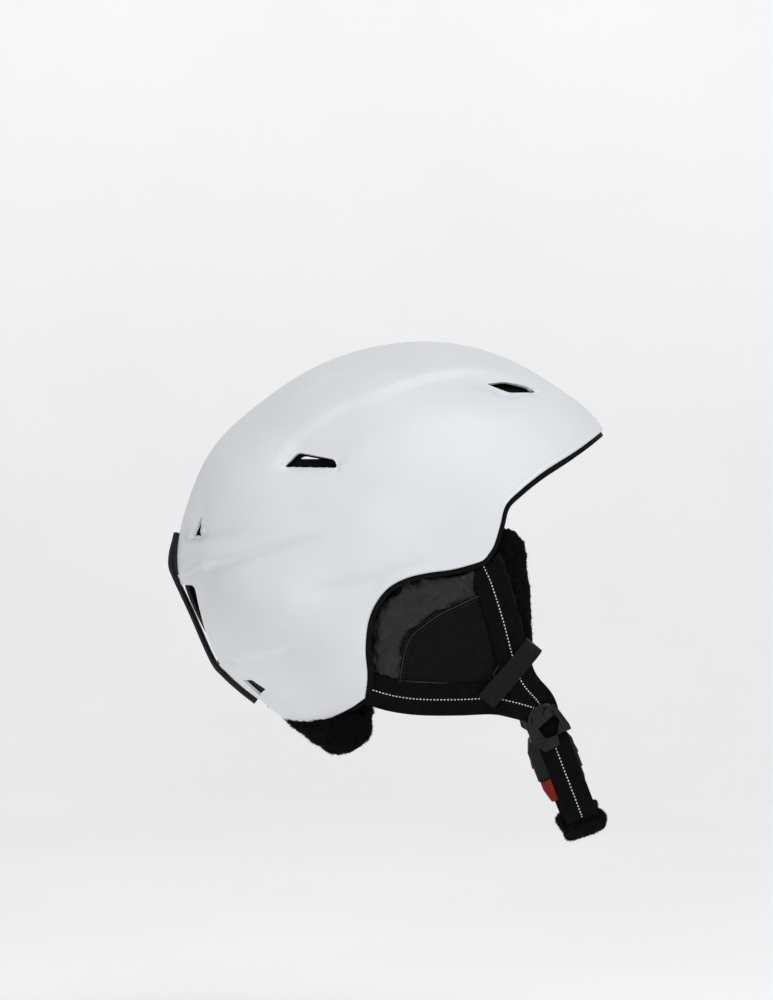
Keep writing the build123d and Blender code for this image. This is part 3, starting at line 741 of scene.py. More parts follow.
def inside(point, outline):
    """True where a flat point is inside an outline."""
    x, z = point
    odd = False
    for (x0, z0), (x1, z1) in zip(outline, outline[1:] + outline[:1]):
        if (z0 > z) != (z1 > z) and x < (x1 - x0) * (z - z0) / (z1 - z0) + x0:
            odd = not odd
    return odd


def open_hole(piece, outline, axis, where):
    """Cuts an outline, in X and Z or in Y and Z, out of the side of a piece that where picks."""
    outline = [(a * MM, z * MM) for a, z in outline]
    pick = (lambda c: (c.x, c.z)) if axis == "Y" else (lambda c: (c.y, c.z))
    low = [min(p[k] for p in outline) - 3 * MM for k in (0, 1)]
    high = [max(p[k] for p in outline) + 3 * MM for k in (0, 1)]
    bm = bmesh.new()
    bm.from_mesh(piece.data)

    def near(face):
        centre = face.calc_center_median()
        a, z = pick(centre)
        return low[0] < a < high[0] and low[1] < z < high[1] and where(centre)

    faces = [face for face in bm.faces if near(face)]
    for (a0, z0), (a1, z1) in zip(outline, outline[1:] + outline[:1]):
        length = hypot(a1 - a0, z1 - z0)
        if length < 1e-6:
            continue
        centre = Vector(((a0 + a1) / 2, (z0 + z1) / 2))
        reachable = length / 2 + 3 * MM
        chosen = [f for f in faces if (Vector(pick(f.calc_center_median())) - centre).length < reachable]
        edges = list({e for f in chosen for e in f.edges})
        verts = list({v for f in chosen for v in f.verts})
        across_edge = ((z1 - z0) / length, -(a1 - a0) / length)
        if axis == "Y":
            plane_at, plane_out = (a0, 0, z0), (across_edge[0], 0, across_edge[1])
        else:
            plane_at, plane_out = (0, a0, z0), (0, across_edge[0], across_edge[1])
        made = bmesh.ops.bisect_plane(bm, geom=chosen + edges + verts, dist=1e-8,
                                      plane_co=plane_at, plane_no=plane_out)
        fresh = {e for e in made["geom"] if isinstance(e, bmesh.types.BMFace)}
        fresh |= {f for e in made["geom_cut"] if isinstance(e, bmesh.types.BMEdge) for f in e.link_faces}
        faces = list({f for f in faces if f.is_valid} | {f for f in fresh if f.is_valid and near(f)})
    gone = [f for f in faces if inside(pick(f.calc_center_median()), outline)]
    bmesh.ops.delete(bm, geom=gone, context="FACES")
    bm.to_mesh(piece.data)
    bm.free()
    print("cut", len(gone), "faces for an opening")


SHELL_THICK = 1.8
RECESS = ((-38, -28), (38, -28), (38, -50), (22, -77), (-22, -77), (-38, -50))
for sign in (-1, 1):
    open_hole(shell, rounded_outline(SIDE_VENT, 2.5), "Y", lambda c: c.y * sign > 0.05)
    open_hole(shell, rounded_outline(FRONT_VENT, 2.0), "Y", lambda c: c.y * sign > 0.02)
    rear = [(-sign * y, z) for y, z in rounded_outline(REAR_VENT, 2.0)]
    open_hole(shell, rear, "X", lambda c: c.x < -0.08)
    low_vent = [(-sign * y, z) for y, z in rounded_outline(LOW_VENT, 1.5)]
    open_hole(shell, low_vent, "X", lambda c: c.x < -0.06)
open_hole(shell, rounded_outline(RECESS, 6), "X", lambda c: c.x < -0.08)
edit_all(shell, bpy.ops.mesh.remove_doubles, threshold=0.02 * MM)
print("after cuts:", len(shell.data.polygons), "faces")
shell.data.materials.clear()
shell.data.materials.append(shell_mat)
shell.data.materials.append(foam_mat)
apply_modifier(shell, "SOLIDIFY", thickness=SHELL_THICK * MM, offset=-1, use_even_offset=False,
               material_offset=1)
settle(shell, "shell", 35)
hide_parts("outer_shell")
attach(shell, "helmet")
print("shell triangles:", sum(len(f.vertices) - 2 for f in shell.data.polygons))


# %% [markdown]
# ## The foam's edge
# The foam is moulded into the shell and stands about 1 mm proud of its rim, a thin black line all round.

# %% Foam edge along the rim
def whole_rim(grid):
    """A right-hand grid's outer edge, and its mirror image, as one closed loop."""
    half = np.concatenate([grid[:, 0], grid[-1, 1:], grid[-2::-1, -1]])
    return np.concatenate([half, half[-2:0:-1] * (1, -1, 1)])


rim_points, rim_normals = whole_rim(right), whole_rim(base_normals[len(across) - 1:])
gap = np.linalg.norm(np.roll(rim_points, -1, axis=0) - rim_points, axis=1) > 0.05
rim_points, rim_normals = rim_points[gap], rim_normals[gap]
run = np.roll(rim_points, -3, axis=0) - np.roll(rim_points, 3, axis=0)
rim_out = np.cross(run, rim_normals)
rim_out /= np.linalg.norm(rim_out, axis=1, keepdims=True)
FOAM_SECTION = ((1.9, -3.0), (1.9, 0.3), (2.4, 0.8), (3.6, 1.1), (6.4, 1.1), (6.8, -3.0), (1.9, -3.0))
rings = [rim_points - d * rim_normals + o * rim_out for d, o in FOAM_SECTION]
rings = np.stack(rings, 1)
rings = np.concatenate([rings, rings[:1]])
foam_edge = grid_mesh("foam_edge", rings)


def close_seams(piece, angle=40):
    """Merges a grid's meeting edges, closes its ends and turns its faces outwards."""
    choose(piece)
    bpy.ops.object.mode_set(mode="EDIT")
    bpy.ops.mesh.select_all(action="SELECT")
    bpy.ops.mesh.remove_doubles(threshold=0.004 * MM)
    bpy.ops.mesh.select_all(action="DESELECT")
    bpy.ops.mesh.select_mode(type="EDGE")
    bpy.ops.mesh.select_non_manifold()
    bpy.ops.mesh.fill_holes(sides=0)
    bpy.ops.mesh.select_all(action="SELECT")
    bpy.ops.mesh.normals_make_consistent(inside=False)
    bpy.ops.mesh.select_mode(type="VERT")
    bpy.ops.object.mode_set(mode="OBJECT")
    return settle(piece, piece.name, angle)


def finish_piece(piece, material, body="helmet", stands_for=()):
    """Gives a piece its material, the body it moves with and the nodes it stands for."""
    piece.data.materials.clear()
    piece.data.materials.append(material)
    if stands_for:
        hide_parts(*stands_for)
    if body:
        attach(piece, body)
    print(piece.name, "has", len(piece.data.polygons), "faces of", material.name)
    return piece


close_seams(foam_edge)
finish_piece(foam_edge, foam_mat)
print("foam edge:", len(foam_edge.data.polygons), "faces")


# %% [markdown]
# Behind each vent the foam has an air channel deep in shade, so the eye sees only dark. A thin dark sheet
# that follows the shell some millimetres down is painted shade: it gives that dark without modelling the
# channels.

# %% Dark sheets: painted shade behind the vents, and a floor in the recess
def dark_sheet_under_shell(name, outline, axis, sign, depth, whole_width=False):
    """A patch of the shell's surface, depth mm in: a quarter wider than a vent, or as wide as a recess."""
    centre = np.mean(outline, axis=0)
    spread = 0.97 if whole_width else 1.25
    wide = [centre + (np.array(p) - centre) * spread for p in outline]
    low, high = np.min(wide, axis=0), np.max(wide, axis=0)
    a, b = np.meshgrid(np.linspace(low[0], high[0], 22), np.linspace(low[1], high[1], 14))
    if axis == "Y":
        angle, out = to_polar(a, b)
        points = on_shell(angle, out)
    else:
        share = (1 - (np.abs(a) / HALF_WIDTH) ** POWER) ** (1 / POWER)
        turns = np.linspace(radians(140), radians(215), 1500)
        heights = POLE[1] + share[..., None] * outline_reach(turns) * np.sin(turns)
        turn = turns[np.argmin(np.abs(heights - b[..., None]), axis=-1)]
        far = share * outline_reach(turn)
        points = np.stack([POLE[0] + far * np.cos(turn), a if whole_width else -np.abs(a),
                           POLE[1] + far * np.sin(turn)], -1)
    centre_3d = np.array((0.0, 0.0, -20.0))
    points = points - depth * unit(points - centre_3d)
    sheet_piece = grid_mesh(name, points * (1, sign, 1))
    apply_modifier(sheet_piece, "SOLIDIFY", thickness=0.8 * MM, offset=0)
    settle(sheet_piece, name, 40)
    return finish_piece(sheet_piece, foam_mat)


RECESS_FLOOR = ((-30, -28), (30, -77))   # two far corners, just inside the recess
dark_sheet_under_shell("recess_floor", RECESS_FLOOR, "X", 1, 2.8, True)
# The sheets behind the vents are painted shade, which stands for the shade deep in the air channels.
for side, sign in (("right", 1), ("left", -1)):
    dark_sheet_under_shell("side_vent_painted_shade_" + side, SIDE_VENT, "Y", sign, 9.0)
    dark_sheet_under_shell("front_net_" + side, FRONT_VENT, "Y", sign, 7.0)
    dark_sheet_under_shell("rear_net_" + side, REAR_VENT, "X", sign, 5.0)
    dark_sheet_under_shell("low_vent_painted_shade_" + side, LOW_VENT, "X", sign, 4.0)


# %% [markdown]
# ## Strips, straps and stitches
# Webbing, elastic, rubber and piping are each one section carried along a line, with the section's
# distance round and the line's length kept as a UV map in mm for the weave.

# %% A section carried along a line
def swept(name, line, section, up=None, across=None, scale=None):
    """Carries a closed section, points of (across, up) in mm, along a line. One of up and across is fixed."""
    line = np.asarray(line, float)
    section = np.asarray(list(section) + [section[0]], float)
    along = unit(np.gradient(line, axis=0))
    if across is None:
        up = np.broadcast_to(np.asarray(up, float), line.shape)
        side = unit(np.cross(along, up))
    else:
        side = unit(np.broadcast_to(np.asarray(across, float), line.shape))
    lift = unit(np.cross(side, along))
    size = np.ones(len(line)) if scale is None else np.asarray(scale)
    points = (line[:, None] + section[None, :, :1] * side[:, None] * size[:, None, None]
              + section[None, :, 1:] * lift[:, None] * size[:, None, None])
    piece = grid_mesh(name, points)
    lengths = lengths_along(line)
    around = section[:, 0]
    layer = piece.data.uv_layers.active or piece.data.uv_layers.new()
    layer.name = "strap"
    columns = len(section)
    index = np.zeros(len(piece.data.loops), int)
    piece.data.loops.foreach_get("vertex_index", index)
    uv = np.stack([around[index % columns], lengths[index // columns]], -1)
    layer.data.foreach_set("uv", uv.ravel())
    return close_seams(piece)


def flat_section(width, thickness, edge=0.5, lip=0.0):
    """A flat strip's section with rounded edges; lip raises its two borders."""
    w, h = width / 2, thickness / 2
    half = [(-w, 0), (-w + 0.12 * edge, 0.6 * h), (-w + edge * 0.5, h + lip), (-w + edge * 2.4, h + lip),
            (-w + edge * 3.4, h)]
    top = half + [(x, h) for x in np.linspace(-w * 0.55, w * 0.55, 5)] + [(-x, y) for x, y in half[::-1]]
    return top + [(x, -y if abs(y) <= h else -h) for x, y in top[-2:0:-1]]


def round_section(radius, count=10):
    return [(radius * cos(2 * pi * k / count), radius * sin(2 * pi * k / count)) for k in range(count)]


bpy.ops.mesh.primitive_uv_sphere_add(segments=8, ring_count=5, radius=0.5)
stitch_shape = bpy.context.object  # one stitch, copied along every seam
stitch_mesh = stitch_shape.data
bpy.data.objects.remove(stitch_shape)


def stitches(name, line, up, pitch=2.1, length=1.35, width=0.85, height=0.5, material=thread_mat):
    """A row of separate stitches along a line, lying on a face whose outward direction is up."""
    line = np.asarray(line, float)
    lengths = lengths_along(line)
    bm = bmesh.new()
    for place in np.arange(pitch * 0.6, lengths[-1] - pitch * 0.6, pitch):
        at = Vector([np.interp(place, lengths, line[:, k]) for k in range(3)])
        ahead = Vector([np.interp(place + 0.5, lengths, line[:, k]) for k in range(3)]) - at
        ahead.normalize()
        outward = Vector(up(place / lengths[-1]) if callable(up) else up).normalized()
        side = ahead.cross(outward).normalized()
        turn = Matrix((ahead, side, outward)).transposed().to_4x4()
        size = Matrix.Diagonal((length, width, height, 1.0))
        before = len(bm.verts)
        bm.from_mesh(stitch_mesh)
        bm.verts.ensure_lookup_table()
        move = Matrix.Translation(at * MM) @ turn @ size @ Matrix.Scale(MM, 4)
        bmesh.ops.transform(bm, matrix=move, verts=bm.verts[before:])
    mesh = bpy.data.meshes.new(name)
    bm.to_mesh(mesh)
    bm.free()
    piece = settle(add_piece(name, mesh), name, 60)
    return finish_piece(piece, material)


# %% [markdown]
# The ear pad leans in a little towards the jaw, and below it the straps hang down and forward. Everything
# sewn to them is placed by two small functions, one for the pad's face and one for the leg.

# %% The ear pad's plane and the leg's directions
PAD_LEAN = radians(5.7)
pad_out = np.array((0.0, -cos(PAD_LEAN), -sin(PAD_LEAN)))
LEG_TOP = (98.5, -110.5)
LEAN = radians(21)
leg_down = np.array((sin(LEAN), 0.0, -cos(LEAN)))
leg_across = np.array((cos(LEAN), 0.0, sin(LEAN)))


def over_pad(x, z, lift):
    """A point lift mm off the right ear pad's outer face."""
    up = (z + 15) / cos(PAD_LEAN)
    return np.array((x, -100 - up * sin(PAD_LEAN), z)) + lift * pad_out


def on_leg(down, y, across=0.0):
    """A point on a strap's leg, down from the divider's centre."""
    return np.array((LEG_TOP[0], y, LEG_TOP[1])) + down * leg_down + across * leg_across


def shifted(line, up, distance, lift):
    """A line moved sideways by distance and outward by lift."""
    along = unit(np.gradient(line, axis=0))
    side = unit(np.cross(along, np.broadcast_to(up, line.shape)))
    return line + distance * side + lift * unit(np.cross(side, along))


def pair(piece, nodes_right, nodes_left, material=None, body="helmet"):
    """Finishes a right-hand piece and its mirrored twin."""
    name = piece.name.replace("_right", "_left")
    twin = mirrored(piece, name)
    finish_piece(piece, material or piece.data.materials[0], body, nodes_right)
    finish_piece(twin, material or twin.data.materials[0], body, nodes_left)
    return piece, twin


# %% [markdown]
# ## Soft pieces
# A pad is foam under stretched cloth, so its flat sides swell and its edges round over. Each one starts
# as the CAD solid, is remeshed evenly, and is blown up a little by a cloth simulation.

# %% Blow a soft piece up
SWELL_FRAMES = 20


def puffed(piece, voxel=4.5, pressure=4.0, cap=2.2, levels=1):
    """Remeshes a piece and swells it, moving no point more than cap mm."""
    apply_modifier(piece, "REMESH", mode="VOXEL", voxel_size=voxel * MM)
    apply_modifier(piece, "SMOOTH", factor=0.5, iterations=2)
    count = len(piece.data.vertices)
    before = np.zeros(count * 3)
    piece.data.vertices.foreach_get("co", before)
    choose(piece)
    cloth = piece.modifiers.new("Cloth", "CLOTH")
    cloth.settings.quality = 5
    cloth.settings.mass = 0.3
    cloth.settings.use_pressure = True
    cloth.settings.uniform_pressure_force = pressure
    cloth.settings.effector_weights.gravity = 0
    cloth.point_cache.frame_start = 1
    cloth.point_cache.frame_end = SWELL_FRAMES
    for moment in range(1, SWELL_FRAMES + 1):
        scene.frame_set(moment)
    bpy.ops.object.modifier_apply(modifier=cloth.name)
    scene.frame_set(1)
    after = np.zeros(count * 3)
    piece.data.vertices.foreach_get("co", after)
    move = (after - before).reshape(-1, 3)
    size = np.linalg.norm(move, axis=1, keepdims=True) + 1e-12
    move *= np.minimum(size, cap * MM) / size
    piece.data.vertices.foreach_set("co", before + move.ravel())
    piece.data.update()
    print(piece.name, "swelled by up to", round(float(np.minimum(size.max(), cap * MM)) / MM, 1), "mm")
    if levels:
        apply_modifier(piece, "SUBSURF", levels=levels, render_levels=levels)
    return settle(piece, piece.name, 180)


def cad_copy(node, name):
    """A copy of a CAD node's mesh, merged, as a start for a soft piece."""
    piece = add_piece(name, nodes[node].data.copy())
    edit_all(piece, bpy.ops.mesh.remove_doubles, threshold=0.001 * MM)
    return piece


def roughen(piece, height, size, seed=0):
    """Moves each point in or out by a smooth random amount, height mm over patches size mm wide."""
    shift = Vector((seed * 17.0, 0, 0))
    normals = [v.normal.copy() for v in piece.data.vertices]
    for v, n in zip(piece.data.vertices, normals):
        v.co += n * height * MM * noise.noise(v.co / MM / size + shift)
    piece.data.update()


def fibres(name, piece, count, length, seed, thick=0.16):
    """Short curved fibres standing on a piece, one narrow bent leaf each."""
    rng = np.random.default_rng(seed)
    mesh = piece.data
    mesh.calc_loop_triangles()
    corners = np.array([t.vertices[:] for t in mesh.loop_triangles])
    co = np.zeros(len(mesh.vertices) * 3)
    mesh.vertices.foreach_get("co", co)
    co = co.reshape(-1, 3) / MM
    a, b, c = co[corners[:, 0]], co[corners[:, 1]], co[corners[:, 2]]
    normal = np.cross(b - a, c - a)
    area = np.linalg.norm(normal, axis=1)
    pick = rng.choice(len(area), count, p=area / area.sum())
    u, v = rng.random((2, count, 1))
    fold = u + v > 1
    u, v = np.where(fold, 1 - u, u), np.where(fold, 1 - v, v)
    root = a[pick] + u * (b[pick] - a[pick]) + v * (c[pick] - a[pick])
    out = unit(normal[pick])
    lean = unit(out + 0.75 * rng.normal(size=(count, 3)))
    bend = unit(lean + 0.9 * rng.normal(size=(count, 3)))
    reach_out = length * (0.55 + 0.6 * rng.random((count, 1)))
    side = unit(np.cross(lean, rng.normal(size=(count, 3)))) * thick
    root = root - out * 0.3
    middle = root + lean * reach_out * 0.6
    tip = middle + bend * reach_out * 0.5
    points = np.stack([root - side, root + side, middle + side * 0.8, middle - side * 0.8, tip], 1)
    points = points.reshape(-1, 3)
    start = np.arange(count) * 5
    quads = np.stack([start, start + 1, start + 2, start + 3], 1).tolist()
    tips = np.stack([start + 3, start + 2, start + 4], 1).tolist()
    fuzz = bpy.data.meshes.new(name)
    fuzz.from_pydata((points * MM).tolist(), [], quads + tips)
    fuzz.update()
    return add_piece(name, fuzz)


# %% [markdown]
# Pads of foam in brushed knit line the shell. They show only from below, so the CAD shapes, swelled a little,
# are enough.

# %% Comfort pads inside the shell
for node, fill in (("crown_pad", 0.5), ("brow_pad", 0.5), ("rear_pad", 0.5)):
    pad = puffed(cad_copy(node, node + "_cloth"), voxel=4.0, pressure=4, cap=1.2)
    finish_piece(pad, knit_mat, "helmet", (node,))
side_pad = puffed(cad_copy("side_pad_right", "side_pad_right_cloth"), voxel=4.0, pressure=4, cap=1.2)
for pad in pair(side_pad, ("side_pad_right",), ("side_pad_left",), knit_mat):
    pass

# %% [markdown]
# ## Ear pads
# The pad's back is a thick fleece cushion. In front of it a flat body carries two puffed panels: grained
# leather-look above and behind, and plain jersey below and in front, joined by a curved welt.

# %% Fleece cushion behind the ear pad
lining = puffed(cad_copy("ear_pad_lining_right", "ear_lining_right"), cap=1.6, levels=2)
roughen(lining, 1.0, 3.2, 1)
lining_fuzz = fibres("ear_lining_fuzz_right", lining, 9000, 1.9, 5)
for pad in pair(lining, ("ear_pad_lining_right",), ("ear_pad_lining_left",), fleece_mat):
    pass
pair(lining_fuzz, (), (), fleece_mat)

# %% [markdown]
# The body is the thin cushion that carries the two panels. It swells least, because the panels hold it flat.

# %% Ear pad's body
body_pad = puffed(cad_copy("ear_pad_cover_right", "ear_body_right"), voxel=3.5, pressure=3, cap=0.7, levels=2)
roughen(body_pad, 0.5, 9.0, 2)
for pad in pair(body_pad, ("ear_pad_cover_right",), ("ear_pad_cover_left",), panel_mat):
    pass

# %% [markdown]
# Each panel is cut flat and sewn round its edge, so it stands up in the middle and pulls in at its seam. A
# thin slab swelled by the cloth simulation does the same. The leather-look is rougher than the jersey.

# %% The two puffed panels
WELT = ((57, -33), (44, -39), (32, -45), (20, -54), (14.6, -60), (11.4, -71), (9, -85.5))
LEATHER_REST = ((-4.5, -84), (-8.5, -80), (-10, -66), (-8.8, -50), (-4.3, -38.5), (3, -29.3), (13.5, -23.4),
                (26, -20.3), (42, -17.8), (54, -15.2))
JERSEY_REST = ((60, -87), (67, -79.5), (69.5, -73), (67, -63), (63.5, -51.5), (58.5, -36))
welt_line = smooth_line(WELT, 40)


def slab(name, outline, low, high):
    """A flat slab on the ear pad between two heights off its face."""
    bm = bmesh.new()
    rings = [[bm.verts.new(Vector(over_pad(x, z, lift)) * MM) for x, z in outline] for lift in (low, high)]
    for k in range(len(outline)):
        j = (k + 1) % len(outline)
        bm.faces.new((rings[0][k], rings[0][j], rings[1][j], rings[1][k]))
    bm.faces.new(rings[0])
    bm.faces.new(rings[1])
    bmesh.ops.recalc_face_normals(bm, faces=bm.faces)
    mesh = bpy.data.meshes.new(name)
    bm.to_mesh(mesh)
    bm.free()
    return add_piece(name, mesh)


leather_outline = [tuple(p) for p in welt_line] + list(LEATHER_REST)
jersey_outline = [tuple(p) for p in welt_line[::-1]]
jersey_outline += [tuple(p) for p in smooth_line(JERSEY_REST[::-1], 16)[::-1]]
leather_slab = slab("leather_panel_right", leather_outline, -2.5, 1.6)
leather_panel = puffed(leather_slab, voxel=1.8, pressure=6, cap=1.8)
roughen(leather_panel, 1.5, 9.0, 3)
roughen(leather_panel, 0.5, 3.5, 4)
jersey_slab = slab("jersey_panel_right", jersey_outline, -2.5, 1.4)
jersey_panel = puffed(jersey_slab, voxel=1.8, pressure=6, cap=1.6)
roughen(jersey_panel, 0.3, 12.0, 5)
for panel, cloth_mat in ((leather_panel, leather_mat), (jersey_panel, panel_mat)):
    for pad in pair(panel, (), (), cloth_mat):
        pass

# %% [markdown]
# A thin welt hides the seam between the panels, with a row of black stitches on each side, and piping
# closes the pad's lower border. Both are round cords swept along the panels' own outlines.

# %% Welt, piping and top stitches
welt_path = np.array([over_pad(x, z, 1.9) for x, z in welt_line])
welt = swept("welt_right", welt_path, round_section(0.6), up=pad_out)
pair(welt, (), (), leather_mat)
border = smooth_line(JERSEY_REST[::-1] + LEATHER_REST[:3], 60)
piping_path = np.array([over_pad(x, z, 0.9) for x, z in border])
piping = swept("piping_right", piping_path, round_section(0.7), up=pad_out)
pair(piping, (), (), leather_mat)
for offset in (-1.7, 1.7):
    line = shifted(welt_path, pad_out, offset, 0.3)
    row = stitches("welt_stitches_right", line, pad_out, 2.6, 1.9, 0.5, 0.5, black_thread)
    pair(row, (), (), black_thread)

# %% [markdown]
# ## Straps over the ear pad
# Two lengths of 20 mm black webbing, one from behind the ear and one from the temple, with one row of
# white stitches each. They meet in the moulded divider below the pad's front corner.

# %% Rear and front straps
WEBBING = (20, 1.6)                # width and thickness
REAR_ROUTE = ((-10, -89.5, 0.6), (-7, -90.5, 1.2), (6, -94, 1.5), (22, -96, 1.5), (44, -96.2, 1.5),
              (66, -95.5, 1.5), (80, -98, 1.9))
rear_line = smooth_line([over_pad(*p) for p in REAR_ROUTE] + [on_leg(-8, -85.5)], 60)
FRONT_ROUTE = ((60, -14.5, 0.0), (61.5, -18, 1.3), (65, -26, 1.6), (72, -48, 1.8), (78.5, -72, 3.6),
               (84, -86, 4.0))
front_line = smooth_line([over_pad(*p) for p in FRONT_ROUTE] + [on_leg(-13.2, -88.6), on_leg(-4, -86)], 70)
rear_strap = swept("rear_strap_right_web", rear_line, flat_section(*WEBBING), up=pad_out)
front_strap = swept("front_strap_right_web", front_line, flat_section(*WEBBING), up=pad_out)
pair(rear_strap, ("rear_strap_right",), ("rear_strap_left",), webbing_mat)
pair(front_strap, ("front_strap_right",), ("front_strap_left",), webbing_mat)
for label, line in (("rear", rear_line), ("front", front_line)):
    row = stitches(label + "_stitches_right", shifted(line, pad_out, 0.0, 0.85), pad_out)
    pair(row, (), (), thread_mat)

# %% [markdown]
# A short elastic loop wraps round both straps at the pad's corner and goes in behind at each end. It is one
# flat strip, whose rubber cords show as fine lines along it.

# %% Elastic loop across the pad's corner
loop_start, loop_end = np.array((90.0, -64.0)), np.array((61.5, -97.5))
loop_steps = ((0.0, -7.0), (-0.03, -2.0), (0.0, 2.2), (0.08, 4.2), (0.22, 5.3), (0.5, 6.0), (0.8, 5.3),
              (0.93, 4.2), (1.0, 2.2), (1.03, -2.0), (1.0, -7.0))
loop_points = [over_pad(*(loop_start + t * (loop_end - loop_start)), lift) for t, lift in loop_steps]
loop_line = smooth_line(loop_points, 60)
loop_across = unit(np.cross(over_pad(*loop_end, 0) - over_pad(*loop_start, 0), pad_out))
elastic_mat, tree, shader, mm = start_material("black satin elastic", "#08080A", 0.5, Specular_IOR_Level=0.2)
elastic_uv = add_node(tree, "ShaderNodeUVMap", uv_map="strap")
rubber_cords = {"Vector": elastic_uv.outputs["UV"], "Scale": WAVE_TURN / 1.0}
cords = add_node(tree, "ShaderNodeTexWave", rubber_cords, bands_direction="X")
mottle(tree, shader, mm, "#060608", "#0B0B0D", 5.0)
relief(tree, shader, cords.outputs["Fac"], 0.3)
loop = swept("loop_band_right_web", loop_line, flat_section(12.5, 1.2, 0.4), across=loop_across)
pair(loop, ("loop_band_right",), ("loop_band_left",), elastic_mat)

# %% [markdown]
# ## Chin strap
# One loop of webbing runs from the right divider under the chin to the buckle's plug. A fleece sleeve
# covers its lowest part.

# %% Chin strap and the buckle's webbing
STRAP = ((-84, -10), (-84, 22), (-84, 48), (-78.5, 62.5), (-56, 70.8), (0, 73), (56, 71.6), (78.5, 68.6),
         (83.6, 63.5), (84, 58))
strap_line = smooth_line([on_leg(down, y) for y, down in STRAP], 120)
chin_strap = swept("chin_strap_web", strap_line, flat_section(*WEBBING), across=leg_across)
finish_piece(chin_strap, webbing_mat, "chin_strap_body", ("chin_strap",))
hook_line = smooth_line([on_leg(down, 84) for down in (-10, 0, 10, 20.5)], 24)
hook = swept("buckle_webbing_web", hook_line, flat_section(*WEBBING), across=leg_across)
finish_piece(hook, webbing_mat, "helmet", ("buckle_webbing",))
on_right_leg = strap_line[(strap_line[:, 1] < -78) & (strap_line[:, 2] < -121)]
leg_row = shifted(on_right_leg, np.array((0.0, -1.0, 0.0)), 0.0, 0.9)
row = stitches("leg_stitches", leg_row, (0, -1, 0))
finish_piece(row, thread_mat, "chin_strap_body")

# %% [markdown]
# The sleeve slides on the webbing and keeps it off the skin. It is a swelled tube with a roughened surface
# and thousands of short bent fibres, because its outline against the light is fuzzy.

# %% Fleece sleeve under the chin
sleeve = puffed(cad_copy("chin_pad", "chin_sleeve"), voxel=4.0, pressure=4, cap=1.6, levels=2)
roughen(sleeve, 1.0, 3.0, 7)
sleeve_fuzz = fibres("chin_sleeve_fuzz", sleeve, 9000, 1.9, 9)
finish_piece(sleeve, fleece_mat, "chin_strap_body", ("chin_pad",))
finish_piece(sleeve_fuzz, fleece_mat, "chin_strap_body")

# %% [markdown]
# ## Neck roll
# A fleece roll closes the gap between the shell and the neck. It hangs just below the lobe behind the ear.

# %% Neck roll
ROLL = ((-13, 84, -104), (-15, 81, -109), (-27, 72, -118), (-40, 55, -113), (-53, 36, -105), (-60, 18, -100),
        (-63, 0, -98))
roll_half = smooth_line(ROLL, 30)
roll_line = np.concatenate([roll_half * (1, -1, 1), roll_half[-2::-1]])
roll_section = [(15 * cos(2 * pi * k / 20), 8 * sin(2 * pi * k / 20)) for k in range(20)]
tilt = unit(np.cross(unit(np.gradient(roll_line, axis=0)), (0.0, 0.0, 1.0)))
upright = unit(np.cross(tilt, unit(np.gradient(roll_line, axis=0))))
place = np.arange(len(roll_line))
from_end = np.minimum(place, place[::-1])
thin_ends = 1 - 0.45 * np.exp(-(from_end / 2.5) ** 2)
roll = swept("neck_roll_fleece", roll_line, roll_section, across=upright, scale=thin_ends)
roll = puffed(roll, voxel=4.5, pressure=4, cap=1.6, levels=1)
roughen(roll, 1.1, 3.5, 8)
roll_fuzz = fibres("neck_roll_fuzz", roll, 16000, 2.1, 11)
finish_piece(roll, fleece_mat, "helmet", ("neck_roll",))
finish_piece(roll_fuzz, fleece_mat, "helmet")

# %% [markdown]
# ## Goggle band
# A black rubber band crosses the recess at the back. It is fixed at its top and snaps on below, so a
# goggle strap can be slid under it. It has raised borders, and low grip bars that are not modelled.

# %% Goggle band
BAND = ((-133.4, 5), (-134.8, -1), (-136.4, -7.5), (-136.9, -16), (-134.2, -24), (-124, -46), (-110.5, -76.5),
        (-102.4, -86.6), (-92, -96), (-82.5, -103.4))
band_outer = smooth_line(BAND, 110)
band_along = unit(np.gradient(band_outer, axis=0))
band_in = np.stack([-band_along[:, 1], band_along[:, 0]], -1)
band_mid = band_outer + 1.3 * band_in
band_line = np.stack([band_mid[:, 0], np.zeros(len(band_mid)), band_mid[:, 1]], -1)
band = swept("goggle_band_rubber", band_line, flat_section(24, 2.2, 0.9, 0.35), across=(0, 1, 0))
band.data.materials.append(rubber_mat)
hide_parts("goggle_band_anchor", "goggle_band", "snap_stud", "snap_cap")
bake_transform(band)

# %% [markdown]
# At its top the band thickens into a block that plugs into the shell. A second strip behind the first fills
# that gap and stays with the helmet when the band swings.

# %% The band's anchor block
BLOCK = ((-131.0, 4.2), (-131.7, 0), (-132.4, -7), (-132.3, -14), (-130.6, -22))
block_line = [(x, 0, z) for x, z in smooth_line(BLOCK, 24)]
block = swept("band_anchor_block", block_line, flat_section(22, 4.4, 0.8), across=(0, 1, 0))
finish_piece(block, rubber_mat)

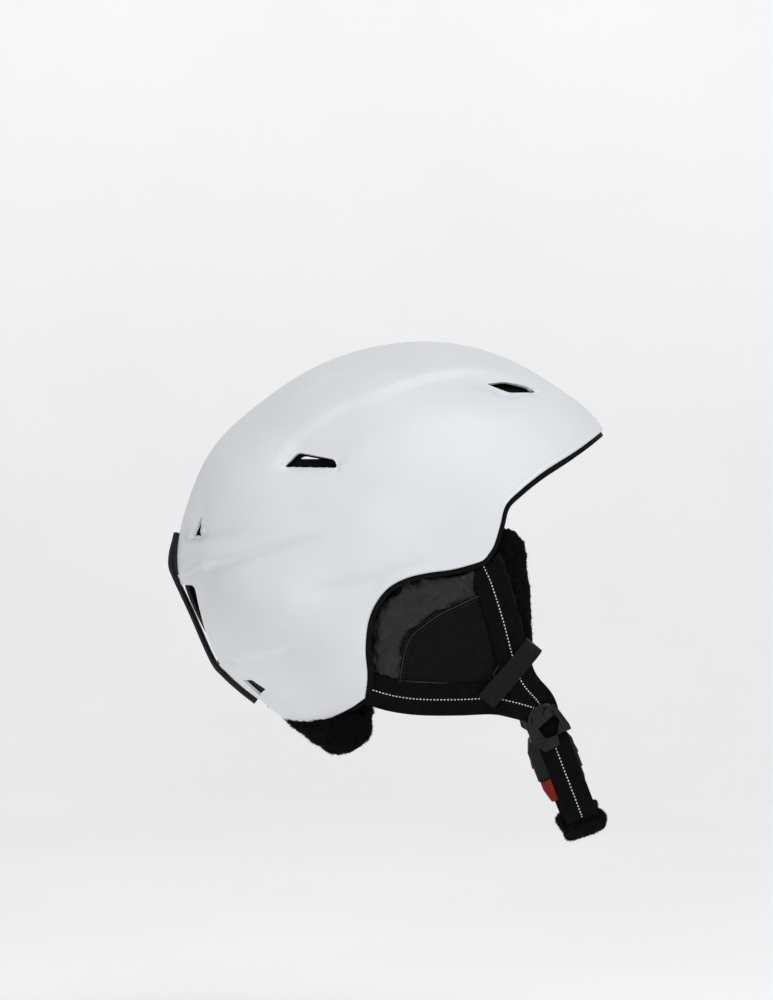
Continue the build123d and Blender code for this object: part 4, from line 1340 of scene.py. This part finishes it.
# %% [markdown]
# ## Divider details
# The divider is one nylon moulding. A round boss and a raised hood stand on its face, and its rear arm has
# three grip grooves.

# %% Divider's boss, hood and grip bars
def ball(name, place, size, turn=0.0):
    """A squashed ball at a place on the right leg."""
    bpy.ops.mesh.primitive_uv_sphere_add(segments=32, ring_count=16, radius=MM)
    piece = bpy.context.object
    piece.name = name
    piece.scale = size
    piece.rotation_euler = (0, turn, 0)
    piece.location = Vector(place) * MM
    return settle(piece, name, 60)


FACE_Y = -88.3                     # the divider's outer face
boss = ball("divider_boss_right", on_leg(-5.0, FACE_Y, 3.5), (3.4, 1.6, 3.4))
pair(boss, (), (), nylon_mat)
HOOD = ((-9.5, 2.0), (-7.5, 7.5), (-2, 10.2), (4, 9.6), (7.8, 5), (9.2, -1), (9.6, -6))
hood_points = [on_leg(-up, FACE_Y - 0.2, sideways) for sideways, up in HOOD]
hood = swept("divider_hood_right", smooth_line(hood_points, 48), round_section(1.5, 12), up=(0, -1, 0))
pair(hood, (), (), nylon_mat)
for k in range(3):
    ends = [on_leg(9 + 2.6 * k, FACE_Y - 0.1, a) for a in (-10.5 + k, -3.5)]
    bar = swept("divider_bar_right", smooth_line(ends, 8), round_section(0.7, 8), up=(0, -1, 0))
    pair(bar, (), (), nylon_mat)

# %% [markdown]
# The buckle, dividers, foam and grilles keep their CAD shapes. Each takes the finish that its record names.

# %% Materials on the CAD pieces that still show, and the end
finishes = {"eps_black": foam_mat, "hardware_black": nylon_mat, "buckle_red": red_mat,
            "grille_black": nylon_mat, "band_rubber": rubber_mat, "webbing": webbing_mat,
            "elastic": webbing_mat, "fleece": fleece_mat,
            "liner_fabric": knit_mat, "pad_leather": leather_mat, "shell_white": shell_mat}
slots = {part["node"]: part["material_slot"] for part in frame["record"]["subparts"]}
print("finishes on the record's slots:", sorted(set(slots.values())))
for name, piece in nodes.items():
    piece.data.materials.clear()
    piece.data.materials.append(finishes[slots[name]])
